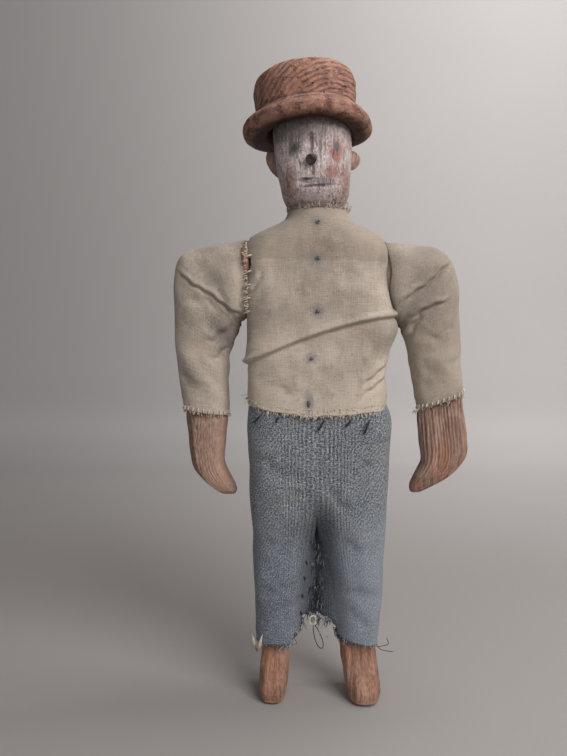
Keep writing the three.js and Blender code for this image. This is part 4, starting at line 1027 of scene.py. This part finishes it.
# Edges of each arm in the front view: height, outer x, inner x and half the depth.
ARM_EDGES = {
    "right": [
        (97.9, -42.8, -41.8, 0.4), (98.3, -45.2, -39.6, 2.6), (99.3, -48.0, -38.6, 4.2),
        (101.8, -52.0, -38.9, 5.8), (106.0, -56.4, -41.0, 6.8), (109.4, -58.7, -42.9, 7.2),
        (113.0, -60.0, -44.0, 7.4), (118.0, -60.9, -44.2, 7.5), (127.0, -61.8, -43.6, 7.5),
        (137.0, -62.7, -43.0, 7.5), (160.0, -63.0, -45.8, 7.5), (195.0, -63.0, -46.0, 7.5),
        (204.0, -62.0, -47.0, 6.5), (209.0, -57.0, -52.0, 3.0),
    ],
    "left": [
        (99.7, 47.0, 46.2, 0.4), (100.1, 48.6, 45.0, 2.4), (101.2, 50.8, 44.4, 4.0),
        (103.0, 54.0, 44.5, 5.4), (107.0, 60.4, 46.3, 6.8), (110.6, 64.9, 48.2, 7.2),
        (114.3, 68.0, 49.9, 7.5), (117.5, 69.8, 49.8, 7.5), (121.0, 70.5, 49.4, 7.5),
        (128.0, 70.0, 48.5, 7.5), (138.0, 68.2, 47.8, 7.5), (147.0, 66.6, 47.4, 7.5),
        (170.0, 63.0, 45.0, 7.5), (195.0, 60.4, 43.4, 7.5), (204.0, 59.0, 44.0, 6.5),
        (209.0, 54.0, 49.0, 3.0),
    ],
}
# Wood of each arm: strength of its streaks, screen colour between them, and where along x a painted highlight
# makes the side facing the light paler.
ARM_WOOD = {"right": (0.2, (170, 138, 123), (-58.0, -46.0)), "left": (0.7, (172, 139, 124), None)}
ARM_RIBS = {"right": 0.35, "left": 1.2}  # how strong the knife's ribs are


class DOLL_OT_arms(bpy.types.Operator):
    """The arms: level rings between the outer and inner edges, ribbed by the knife, with mitten hands."""

    bl_idname = "doll.arms"
    bl_label = "Arms"

    def execute(self, context):
        sizes = context.scene.doll_sizes
        rows, columns, squareness = 230, 240, 3.2
        facet = np.array([-0.9, -0.44])  # the way the right arm's outer front edge was cut flat
        for side, edges in ARM_EDGES.items():
            low, high = edges[0][0], edges[-1][0]
            z = low + (high - low) * np.linspace(0, 1, rows) ** 1.3
            outer, inner, depth = through(edges, z)
            half = np.abs(outer - inner) / 2
            angle = round_angles(columns)
            points = level_rings(angle, z, half, half, depth, depth, squareness)
            if side == "right":
                over = points[..., :2] @ facet - (0.9 * half - 0.35)[:, None]
                points[..., :2] -= np.maximum(over, 0)[..., None] * facet
            tips = step_up(z, low, low + 7) * (1 - step_up(z, high - 6, high))
            around, up = angle[None, :] * 8, z[:, None]
            rib = np.sin(around * 4.5 + 0.7 * np.sin(up * 0.06) + 0.8)
            carve = ARM_RIBS[side] * (0.4 * rib + 0.55 * uneven(around, up * 0.05, 51, 6, 1.4))
            carve += uneven(around, up, 52, 30, 6) * 0.7
            points = pushed(points, carve * sizes.carving / MM * tips[:, None])
            points[..., 0] += ((outer + inner) / 2)[:, None]
            draw_ends_together(points)
            strength, light, painted_lit_side = ARM_WOOD[side]
            wood = made_material("doll_%s_arm_wood" % side, wood_material, strength, srgb(*light),
                                 srgb(78, 62, 55), painted_lit_side)
            made = grid_piece(side + "_arm_carving", points, wood, poles=True)
            settle(made, side + "_arm", "bare_wood", side + "_arm")
        return {"FINISHED"}


# Sections of each leg: height, x of the middle, half the width, toe and heel reach.
LEG_SECTIONS = {
    "right": [
        (0.0, -20.4, 5.4, 13.5, 6.5), (0.6, -20.6, 6.0, 15.0, 7.8), (2.5, -20.7, 6.3, 15.9, 8.8),
        (8.0, -20.5, 6.7, 15.2, 8.8), (13.0, -20.2, 6.7, 12.4, 8.2), (19.0, -19.6, 6.5, 9.4, 7.8),
        (27.0, -19.0, 6.4, 8.2, 7.6), (60.0, -16.2, 7.2, 8.0, 7.8), (103.0, -12.6, 6.2, 8.2, 8.2),
        (110.0, -12.4, 4.4, 5.0, 5.0),
    ],
    "left": [
        (0.0, 22.9, 6.5, 13.0, 6.5), (0.8, 23.1, 7.3, 15.0, 7.8), (3.0, 23.0, 7.8, 16.2, 8.8),
        (8.0, 22.4, 8.0, 15.8, 8.8), (13.0, 21.7, 8.0, 12.8, 8.2), (19.0, 20.8, 8.1, 9.8, 8.0),
        (27.0, 19.9, 8.1, 8.6, 7.8), (60.0, 16.4, 7.8, 8.2, 7.8), (103.0, 12.6, 6.2, 8.2, 8.2),
        (110.0, 12.4, 4.4, 5.0, 5.0),
    ],
}
LEG_SEEDS = {"right": 61, "left": 65}


class DOLL_OT_legs(bpy.types.Operator):
    """The legs: level rings from the sole up the shin, faceted by the knife, with blunt rounded feet."""

    bl_idname = "doll.legs"
    bl_label = "Legs"

    def execute(self, context):
        sizes, colours = context.scene.doll_sizes, context.scene.doll_colours
        rows, columns, squareness = 200, 150, 2.9
        for side, sections in LEG_SECTIONS.items():
            seed = LEG_SEEDS[side]
            z = sections[-1][0] * np.linspace(0, 1, rows) ** 1.6
            middle, half, toe, heel = through(sections, z)
            angle = round_angles(columns)
            points = level_rings(angle, z, half, half, toe, heel, squareness)
            around, up = angle[None, :] * 8, z[:, None]
            carve = 0.9 * np.sin(around * 1.7 + 0.3 * np.sin(up * 0.1) + seed)
            carve = carve + 0.9 * uneven(around, up * 0.08, seed, 8, 2)
            carve = carve + 0.6 * uneven(around, up, seed + 1, 26, 6)
            foot = step_up(z, 0.2, 5) * (1 - step_up(z, 100, 110))
            points = pushed(points, carve * 0.8 * sizes.carving / MM * foot[:, None])
            points[..., 0] += middle[:, None]
            points[..., 2] = np.maximum(points[..., 2], 0)
            points = np.concatenate([points[:1], points, points[-1:]])
            draw_ends_together(points)
            made = grid_piece(side + "_leg_carving", points, bare_wood(colours), poles=True)
            settle(made, side + "_leg", "bare_wood", side + "_leg")
        return {"FINISHED"}


# Sections of each trouser half: height, outer and inner distance from the middle, half the depth, and
# how square the inner half is (very square where the two halves meet above the crotch).
TROUSER_SECTIONS = {
    "right": [
        (TROUSER_HEM, 28.9, 6.8, 11.8, 2.4), (36.0, 29.1, 6.6, 12.3, 2.3), (51.0, 29.4, 5.0, 13.4, 2.4),
        (65.0, 29.8, 2.6, 14.6, 3.0), (75.0, 30.2, 1.0, 15.4, 6.0), (86.0, 30.8, 0.0, 16.2, 30.0),
        (96.0, 31.2, 0.0, 17.0, 60.0), (105.0, 31.6, 0.0, 17.6, 60.0), (116.0, 32.1, 0.0, 18.2, 60.0),
        (130.0, 32.4, 0.0, 18.8, 60.0), (138.0, 32.4, 0.0, 18.8, 60.0), (144.0, 31.6, 0.0, 18.2, 60.0),
        (TROUSER_TOP, 31.2, 0.0, 17.9, 60.0),
    ],
    "left": [
        (TROUSER_HEM, 29.8, 10.2, 11.8, 2.4), (36.0, 30.6, 9.6, 12.3, 2.3), (51.0, 31.6, 8.0, 13.4, 2.4),
        (65.0, 32.3, 5.0, 14.6, 3.0), (75.0, 32.7, 2.2, 15.4, 6.0), (86.0, 33.1, 0.2, 16.2, 30.0),
        (96.0, 33.4, 0.0, 17.0, 60.0), (105.0, 33.7, 0.0, 17.6, 60.0), (116.0, 34.4, 0.0, 18.2, 60.0),
        (130.0, 35.0, 0.0, 18.8, 60.0), (138.0, 34.4, 0.0, 18.8, 60.0), (144.0, 31.8, 0.0, 18.2, 60.0),
        (TROUSER_TOP, 31.2, 0.0, 17.9, 60.0),
    ],
}
# Creases of each trouser half: start and end in the front view, width and depth.
TROUSER_CREASES = {
    "right": [
        ((-28, 118), (-8, 108), 2.6, 0.6), ((-26, 76), (-8, 84), 2.8, 0.5), ((-27, 52), (-12, 58), 2.6, 0.5),
        ((-16, 40), (-8, 50), 2.4, 0.5), ((-4, 104), (-14, 96), 2.2, 0.7),
    ],
    "left": [
        ((28, 116), (8, 106), 2.6, 0.6), ((12, 80), (27, 72), 2.8, 0.5), ((14, 56), (28, 50), 2.6, 0.5),
        ((26, 38), (14, 44), 2.4, 0.5), ((4, 104), (15, 95), 2.2, 0.7), ((34, 128), (26, 120), 2.0, 0.6),
    ],
}
TROUSER_SEEDS = {"right": 73, "left": 75}
INSEAM_REACH = {"right": 4.0, "left": 8.0}  # how far the valley between the legs spreads


def trouser_points(side):
    """One half of the trousers, hem to waist: rings that are square at the inner side above the crotch."""
    out = SIDES[side]
    rows, columns = 230, 240
    outer_power, least_power, least_power_behind = 2.8, 1.9, 7
    z = np.linspace(TROUSER_HEM, TROUSER_TOP, rows)
    outer, inner, depth, square = through(TROUSER_SECTIONS[side], z)
    inner = np.maximum(inner, 0) - 0.5 * step_up(z, 80, 92)
    square = np.maximum(square, least_power)
    angle = round_angles(columns)
    half = (outer - inner) / 2
    cosine, sine = np.cos(angle)[None, :], np.sin(angle)[None, :]
    inner_power = np.where(sine > 0, np.maximum(square, least_power_behind)[:, None], square[:, None])
    power = np.where(cosine * out > 0, outer_power, inner_power)
    radius = oblong_reach(cosine, sine, half[:, None], depth[:, None], power)
    x = out * ((outer + inner) / 2)[:, None] + radius * cosine
    behind = step_up(radius * sine, -6, 3) * step_up(z, 28, 35)[:, None]
    near = np.clip(1 - (np.abs(x) - inner[:, None]) / half[:, None], 0, 1)
    x = x - out * (np.maximum(inner, 0)[:, None] + 0.4) * behind * near
    reach = INSEAM_REACH[side] + 2.5 * step_up(-z, -98, -70)[:, None]
    valley = 0.85 * step_up(-z, -104, -72)[:, None] * bump(x, reach)
    y = radius * sine * np.where(sine < 0, 1 - valley, 1)
    points = np.stack([x, y, np.broadcast_to(z[:, None], x.shape)], axis=-1)
    hem = 1 - step_up(z, TROUSER_HEM, 62)[:, None]
    slant = 2.1 + 0.19 * (20 - np.abs(x))
    if side == "right":
        torn_up = step_up(-np.abs(x), -12.5, -7) * (1 - 0.7 * step_up(-np.abs(x), -6.5, -1))
        slant = 0.9 + 8.1 * torn_up
    points[..., 2] += hem * (slant + 0.5 * uneven(angle * 14, 0 * angle, 71, 50, 8)[None, :])
    x, y, up = np.moveaxis(points, -1, 0)
    push = np.zeros(x.shape)
    for line in TROUSER_CREASES[side]:
        push += crease(x, up, *line) * step_up(np.abs(y), 2, 8)
    apart = step_up(np.abs(x), 0.5, 5)
    loose = step_up(up, TROUSER_HEM, 34) * (1 - step_up(up, 130, 139))
    push += 0.55 * uneven(angle[None, :] * 16, up, TROUSER_SEEDS[side], 50, 10) * apart * loose
    return pushed(points, push * apart)


class DOLL_OT_trousers(bpy.types.Operator):
    """The trousers: a tube of twill for each leg that runs up to the waist, where the two meet."""

    bl_idname = "doll.trousers"
    bl_label = "Trousers"

    def execute(self, context):
        sizes, colours = context.scene.doll_sizes, context.scene.doll_colours
        material = made_material("doll_twill", twill_material, colours)
        for side in SIDES:
            points = turned_in(trouser_points(side), sizes.twill / MM, 5)
            made = grid_piece(side + "_trouser_cloth", points, material, (96.0, 126.0))
            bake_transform(made)
            nodes = [side + "_trouser_leg"]
            if side == "right":
                nodes.append("trouser_seat")
            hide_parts(*nodes)
        return {"FINISHED"}


def front_at(surface, x, z):
    """The y of a surface's front nearest to a place in the front view."""
    front = surface[surface[..., 1] < 0]
    nearest = np.argmin((front[:, 0] - x) ** 2 + (front[:, 2] - z) ** 2)
    return front[nearest, 1]


class DOLL_OT_buttons(bpy.types.Operator):
    """The buttons: knots of dark thread, each a strand wound over itself on the shirt's front."""

    bl_idname = "doll.buttons"
    bl_label = "Button knots"

    def execute(self, context):
        colours = context.scene.doll_colours
        outside = shirt_points(context.scene.doll_sizes)
        turn = np.linspace(0, 2 * np.pi, 60)
        for number, (x, z, wide, tall) in enumerate(BUTTONS, start=1):
            swing = np.sin(turn) + 0.9 * np.sin(2 * turn + number)
            rise = np.cos(turn) - 0.9 * np.cos(2 * turn + number)
            forward = front_at(outside, x, z) - 0.2 - 0.3 * np.sin(3 * turn)
            path = np.stack([x + 0.09 * wide * swing, forward, z + 0.11 * tall * rise], axis=-1)
            made = threads("knot_%d" % number, path[None], 0.5, thread(colours, "button"), 6)
            settle(made, "torso", "thread", "button_knot_%d" % number)
        return {"FINISHED"}


# Whip stitches at the right armhole and stitches at the inseam: x and height.
ARMHOLE_STITCHES = [
    (-33.2, 217.0), (-31.6, 210.0), (-31.8, 203.0), (-32.2, 197.0), (-32.4, 191.0), (-32.6, 185.0),
]
INSEAM_STITCHES = [(-3.6, 66.0), (-4.6, 58.0), (-5.6, 49.0), (-6.2, 40.0)]
# Stitches below the shirt: x and height of the upper end, then of the lower end.
WAIST_STITCHES = [
    (-24.6, 139.4, -29.0, 134.6), (-17.0, 138.6, -18.6, 135.6), (3.7, 137.6, 0.4, 131.4),
    (15.8, 137.8, 12.8, 133.6), (23.7, 137.6, 21.2, 130.0),
]
# The seam of the left armhole: x and height of its places.
ARMHOLE_SEAM = [(30.0, 217.6), (31.6, 213.0), (33.2, 205.0), (32.8, 195.0), (34.6, 188.0), (36.6, 182.0)]


def fringe(colours, name, body, kind, edge, out, longest, seed, count):
    """Loose thread ends along an edge, each leaving it at a seeded place and slant."""
    rng = np.random.default_rng(seed)
    pick = rng.integers(0, len(edge), count)
    starts = edge[pick]
    long = longest * rng.uniform(0.3, 1.0, (count, 1))
    drift = rng.normal(0, 0.45, (count, 3))
    ends = starts + long * (np.broadcast_to(out, edge.shape)[pick] + drift * 0.7)
    sag = rng.normal(0, 0.22, (count, 3)) * long
    made = threads(name, hanging(starts, ends, sag), rng.uniform(0.1, 0.2, count), thread(colours, kind), 4)
    settle(made, body, THREAD_SLOTS[kind])


def sewn(colours, name, body, kind, starts, ends, rise, radius):
    """Stitches from starts to ends, each bowed towards the viewer by its rise."""
    paths = hanging(np.array(starts), np.array(ends), [0.0, -rise, 0.0])
    settle(threads(name, paths, radius, thread(colours, kind)), body, THREAD_SLOTS[kind])


class DOLL_OT_stitching(bpy.types.Operator):
    """Stitches, seams and frayed ends: short bowed threads laid on the cloth."""

    bl_idname = "doll.stitching"
    bl_label = "Stitching and fray"

    def shirt_edges(self, colours, outside, fray):
        """Frayed ends along the shirt's hem and collar."""
        fringe(colours, "shirt_hem_fray", "torso", "light", outside[0], DOWN, fray * 0.8, 81, 330)
        fuzz = outside[:9].reshape(-1, 3)
        slant = unit(fuzz * np.array([1.0, 1.0, 0.0])) * 0.5 + DOWN * 0.5
        fringe(colours, "shirt_hem_fuzz", "torso", "light", fuzz, slant, fray * 0.45, 80, 620)
        collar = outside[-1]
        upward = unit(collar - collar.mean(axis=0)) * 0.15 - DOWN * 0.7
        fringe(colours, "collar_fray", "torso", "light", collar, upward, fray * 1.5, 82, 120)
        fringe(colours, "collar_tan_fray", "torso", "collar", collar, upward, fray * 1.7, 86, 150)
        corner = outside[:12].reshape(-1, 3)
        corner = corner[(corner[:, 0] < -30) & (corner[:, 1] < 4)]
        fringe(colours, "hem_corner_tuft", "torso", "light", corner, [-0.7, -0.2, -0.6], fray * 1.5, 87, 16)

    def cuffs_and_hems(self, colours, fray, stitch, halves):
        """Frayed ends and whip stitches round the cuffs, and frayed ends along the trousers' hems."""
        for side, seed in [("right", 83), ("left", 84)]:
            arm, leg = side + "_arm", side + "_leg"
            cuff = sleeve_points(side)
            fringe(colours, side + "_cuff_fray", arm, "light", cuff[0], DOWN, fray * 0.7, seed, 70)
            front = cuff[2][cuff[2][:, 1] < 1.0]
            front = front[np.argsort(front[:, 0])]
            picked = front[np.linspace(2, len(front) - 3, 15).astype(int)] - np.array([0.0, 0.35, 0.0])
            starts, ends = picked + np.array([0.25, 0, 1.5]), picked + np.array([-0.25, 0, -0.9])
            sewn(colours, side + "_cuff_stitches", arm, "light", starts, ends, 0.35, stitch * 0.44)
            hem = halves[side][0]
            fringe(colours, side + "_twill_hem_fray", leg, "twill", hem, DOWN, fray * 0.5, seed + 4, 60)

    def hand_stitches(self, colours, outside, stitch, on_trousers):
        """Single stitches at the right armhole, below the shirt and along the inseam."""
        starts = [(x + 2.6, front_at(outside, x + 2.6, z) - 0.5, z + 0.8) for x, z in ARMHOLE_STITCHES]
        ends = [(x - 1.4, front_at(outside, x + 1.0, z) + 1.0, z - 0.6) for x, z in ARMHOLE_STITCHES]
        sewn(colours, "armhole_whip_stitches", "torso", "light", starts, ends, 0.8, stitch * 0.55)
        starts = [(x, on_trousers(x, z) - 1.2, z) for x, z, _, _ in WAIST_STITCHES]
        ends = [(x, on_trousers(x, z), z) for _, _, x, z in WAIST_STITCHES]
        sewn(colours, "waist_stitches", "torso", "dark", starts, ends, 0.7, stitch * 0.75)
        starts = [(x - 1.2, on_trousers(x - 1.4, z), z + 1.6) for x, z in INSEAM_STITCHES]
        ends = [(x - 0.2, on_trousers(x - 0.6, z) + 0.6, z - 1.2) for x, z in INSEAM_STITCHES]
        sewn(colours, "inseam_stitches", "right_leg", "dark", starts, ends, 0.5, stitch * 0.5)

    def inseam(self, colours, halves, on_trousers):
        """Frayed ends, a tangle, a ring and a hanging loop between the legs."""
        rng = np.random.default_rng(91)
        spots = np.stack([rng.normal(0.4, 2.0, 80), rng.uniform(42.0, 78.0, 80)], axis=-1)
        tangle = np.array([(x, on_trousers(x, z), z) for x, z in spots])
        fringe(colours, "inseam_twill_fray", "right_leg", "twill", tangle, DOWN, 3.6, 92, 40)
        fringe(colours, "inseam_dark_fray", "right_leg", "dark", tangle, DOWN, 4.4, 93, 90)
        for side, seed in [("right", 97), ("left", 98)]:
            leg, torn = side + "_leg", halves[side][0]
            torn = torn[(np.abs(torn[:, 0]) < 15) & (torn[:, 1] < 2)]
            fringe(colours, side + "_twill_tear_fray", leg, "twill", torn, [0.0, -0.2, -0.8], 4.5, seed, 40)
            fringe(colours, side + "_tear_fray", leg, "dark", torn, [0.0, -0.2, -0.6], 4.5, seed + 2, 40)
        low = tangle[tangle[:, 2] < 54.0]
        fringe(colours, "inseam_tangle", "right_leg", "dark", low, DOWN, 6.5, 95, 60)
        share = np.linspace(0, 1, 20)[:, None]
        edge = (1 - share) * np.array([-4.0, -4.5, 42.0]) + share * np.array([7.5, -4.0, 37.5])
        for side, part, seed in [("right", edge[:10], 99), ("left", edge[10:], 101)]:
            leg = side + "_leg"
            fringe(colours, side + "_inseam_twill_ends", leg, "twill", part, DOWN, 6.0, seed, 18)
            fringe(colours, side + "_inseam_dark_ends", leg, "dark", part, DOWN, 5.0, seed + 1, 18)
        turn = np.linspace(0, 2 * np.pi, 30)
        fall = np.sin(turn / 2)
        hung = on_trousers(-1.8, 44.0) - 0.6
        ring = [-1.5 + 1.6 * np.cos(turn), hung - 6.0 + 0.3 * np.sin(2 * turn), 38.4 + 2.1 * np.sin(turn)]
        loop = [-1.2 + 2.2 * np.sin(turn) * fall + 4.0 * fall ** 2, hung + 0.5 * np.sin(turn),
                34.6 - 13.0 * fall ** 2]
        made = threads("inseam_ring", np.stack(ring, axis=-1)[None], 0.45, thread(colours, "light"))
        settle(made, "right_leg", "twill")
        made = threads("inseam_loop", np.stack(loop, axis=-1)[None], 0.22, thread(colours, "dark"))
        settle(made, "right_leg", "thread")

    def shoulders(self, colours, outside):
        """Bare wood and frayed ends at the right armhole, the left one's seam, and a tangle at its cuff."""
        line = zip(np.linspace(-31.0, -31.8, 60), np.linspace(184.0, 217.5, 60))
        torn = np.array([(x, front_at(outside, x + 0.8, z) - 0.3, z) for x, z in line])
        bare = torn[28::4] + np.array([-0.8, 2.8, 0.0])
        settle(threads("shoulder_wood", bare[None], 2.2, bare_wood(colours), 12), "torso", "bare_wood")
        sleeve = sleeve_points("left")
        seam = [(x, min(front_at(outside, x, z), front_at(sleeve, x, z)) - 0.35, z) for x, z in ARMHOLE_SEAM]
        made = threads("armhole_seam", bent(seam, 40)[None], 0.4, thread(colours, "seam"))
        settle(made, "torso", "thread")
        cuff_end = np.array([[46.6, -5.5, 140.2], [47.4, -7.0, 140.6], [46.2, -4.0, 139.8]])
        fringe(colours, "left_cuff_tangle", "left_arm", "light", cuff_end, [-0.4, -0.3, -0.5], 3.2, 96, 18)
        fringe(colours, "armhole_fray", "torso", "light", torn, [-0.7, -0.5, -0.2], 2.6, 94, 70)

    def loose_bits(self, colours):
        """Thin wisps at the left hem and two blades of straw at the right one."""
        wisps = [
            [(28.6, -6.0, 27.6), (31.0, -7.0, 24.6), (37.6, -7.5, 23.6)],
            [(33.6, -7.0, 30.6), (34.4, -7.4, 27.4), (28.8, -6.6, 25.4)],
        ]
        straw = [
            [(-31.2, -4.5, 31.2), (-29.8, -6.8, 27.2), (-28.0, -9.2, 22.4)],
            [(-28.0, -9.2, 22.4), (-26.6, -10.6, 27.6), (-25.2, -11.6, 33.2)],
        ]
        made = threads("hem_wisps", [bent(path, 16) for path in wisps], 0.17, thread(colours, "dark"))
        settle(made, "left_leg", "thread")
        settle(threads("hem_straw", straw, 1.0, thread(colours, "light")), "right_leg", "linen")

    def execute(self, context):
        sizes, colours = context.scene.doll_sizes, context.scene.doll_colours
        fray, stitch = sizes.fray / MM, sizes.stitch / MM
        outside = shirt_points(sizes)
        halves = {side: trouser_points(side) for side in SIDES}

        def on_trousers(x, z):
            return front_at(halves["right" if x < 0 else "left"], x, z) - 0.4

        self.shirt_edges(colours, outside, fray)
        self.cuffs_and_hems(colours, fray, stitch, halves)
        self.hand_stitches(colours, outside, stitch, on_trousers)
        self.inseam(colours, halves, on_trousers)
        self.shoulders(colours, outside)
        self.loose_bits(colours)
        return {"FINISHED"}


class DOLL_OT_inside(bpy.types.Operator):
    """Wood and iron for the solids that stay as they are: the trunk, bar, pegs and nails."""

    bl_idname = "doll.inside"
    bl_label = "Wood and iron inside"

    def execute(self, context):
        wood = bare_wood(context.scene.doll_colours)
        iron = made_material("doll_iron", iron_material)
        kept = {"trunk": wood, "shoulder_bar": wood, "neck_dowel": wood, "hat_peg": wood}
        for side in SIDES:
            kept[side + "_arm_nail"] = iron
            kept[side + "_hip_nail"] = iron
        for name, material in kept.items():
            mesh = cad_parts[name].data
            mesh.materials.clear()
            mesh.materials.append(material)
        return {"FINISHED"}


class DOLL_OT_stage(bpy.types.Operator):
    """A pale sweep of floor and wall, soft lights and the camera."""

    bl_idname = "doll.stage"
    bl_label = "Stage"

    def light(self, name, place, aim, size, power, tint):
        """A soft rectangular light that faces its aim and doesn't show itself."""
        data = bpy.data.lights.new(name, "AREA")
        data.shape = "RECTANGLE"
        data.size, data.size_y = size
        data.energy = power
        data.color = tint
        made = bpy.data.objects.new(name, data)
        made.location = place
        away = np.array(place) - np.array(aim)
        tilt = math.atan2(math.hypot(away[0], away[1]), away[2])
        made.rotation_euler = (tilt, 0, math.atan2(away[0], -away[1]))
        made.visible_camera = False
        bpy.context.scene.collection.objects.link(made)

    def execute(self, context):
        scene, colours = context.scene, context.scene.doll_colours
        sweep = [
            (0.0, -900.0, 0.0), (0.4, 420.0, 0.0), (0.48, 540.0, 6.0), (0.54, 600.0, 36.0),
            (0.6, 622.0, 110.0), (1.0, 630.0, 1200.0),
        ]
        floor_end, wall_end, half_width = -2400.0, (640.0, 7000.0), 15000.0
        depth, height = through(sweep, np.linspace(0, 1, 160))
        depth = np.concatenate([[floor_end], depth, [wall_end[0]]])
        height = np.concatenate([[0.0], np.maximum(height, 0), [wall_end[1]]])
        across = np.linspace(half_width, -half_width, 80)
        grid = np.broadcast_arrays(across[None, :], depth[:, None], height[:, None])
        points = np.stack(grid, axis=-1)
        faces, _ = grid_faces(*points.shape[:2], False)
        backdrop = made_material("doll_backdrop", backdrop_material, colours)
        made = piece("sweep", points.reshape(-1, 3), faces[:, ::-1], backdrop)
        self.light("key", (0.42, -0.5, 0.62), (0.0, 0.0, 0.16), (0.5, 0.5), 7.0, (1.0, 0.985, 0.965))
        self.light("fill", (-0.5, -0.8, 0.45), (0.0, 0.0, 0.14), (0.9, 0.9), 1.6, (0.95, 0.98, 1.0))
        self.light("wall", (0.3, 0.1, 0.9), (0.2, 0.62, 0.25), (0.6, 0.3), 4.0, (1.0, 0.99, 0.98))
        world = bpy.data.worlds.new("room")
        world.use_nodes = True
        background = world.node_tree.nodes["Background"]
        background.inputs["Color"].default_value = (0.95, 0.97, 1.0, 1.0)
        background.inputs["Strength"].default_value = 0.16
        scene.world = world
        scene.view_settings.view_transform = "Standard"
        eye_distance, eye_level = 0.340, 0.185
        looks_down, looks_aside = 5.2, 2.66
        data = bpy.data.cameras.new("camera")
        data.sensor_width = 36.0
        data.lens = 34.29
        data.clip_start = 0.01
        camera = bpy.data.objects.new("camera", data)
        camera.location = (MIDDLE_X, MIDDLE_Y - eye_distance, eye_level)
        camera.rotation_euler = (math.radians(90 - looks_down), 0, math.radians(looks_aside))
        scene.collection.objects.link(camera)
        scene.camera = camera
        return {"FINISHED"}


class DOLL_PT_pieces(bpy.types.Panel):
    """The doll's pieces, sizes and colours."""

    bl_idname = "DOLL_PT_pieces"
    bl_label = "Wooden doll"
    bl_space_type = "VIEW_3D"
    bl_region_type = "UI"
    bl_category = "Doll"

    def draw(self, context):
        for group in (context.scene.doll_sizes, context.scene.doll_colours):
            for name in group.bl_rna.properties.keys():
                if name not in {"rna_type", "name"}:
                    self.layout.prop(group, name)
        for operator in OPERATORS:
            self.layout.operator(operator.bl_idname)


OPERATORS = [
    DOLL_OT_hat, DOLL_OT_head, DOLL_OT_ears_and_nose, DOLL_OT_shirt, DOLL_OT_sleeves, DOLL_OT_arms,
    DOLL_OT_legs, DOLL_OT_trousers, DOLL_OT_buttons, DOLL_OT_stitching, DOLL_OT_inside, DOLL_OT_stage,
]
CLASSES = [DollSizes, DollColours, *OPERATORS, DOLL_PT_pieces]


def register():
    for made in CLASSES:
        bpy.utils.register_class(made)
    bpy.types.Scene.doll_sizes = PointerProperty(type=DollSizes)
    bpy.types.Scene.doll_colours = PointerProperty(type=DollColours)


def unregister():
    del bpy.types.Scene.doll_colours
    del bpy.types.Scene.doll_sizes
    for made in reversed(CLASSES):
        bpy.utils.unregister_class(made)


def main():
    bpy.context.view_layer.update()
    register()
    bpy.ops.doll.hat()
    bpy.ops.doll.head()
    bpy.ops.doll.ears_and_nose()
    bpy.ops.doll.shirt()
    bpy.ops.doll.sleeves()
    bpy.ops.doll.arms()
    bpy.ops.doll.legs()
    bpy.ops.doll.trousers()
    bpy.ops.doll.buttons()
    bpy.ops.doll.stitching()
    bpy.ops.doll.inside()
    bpy.ops.doll.stage()


if __name__ == "__main__":
    main()
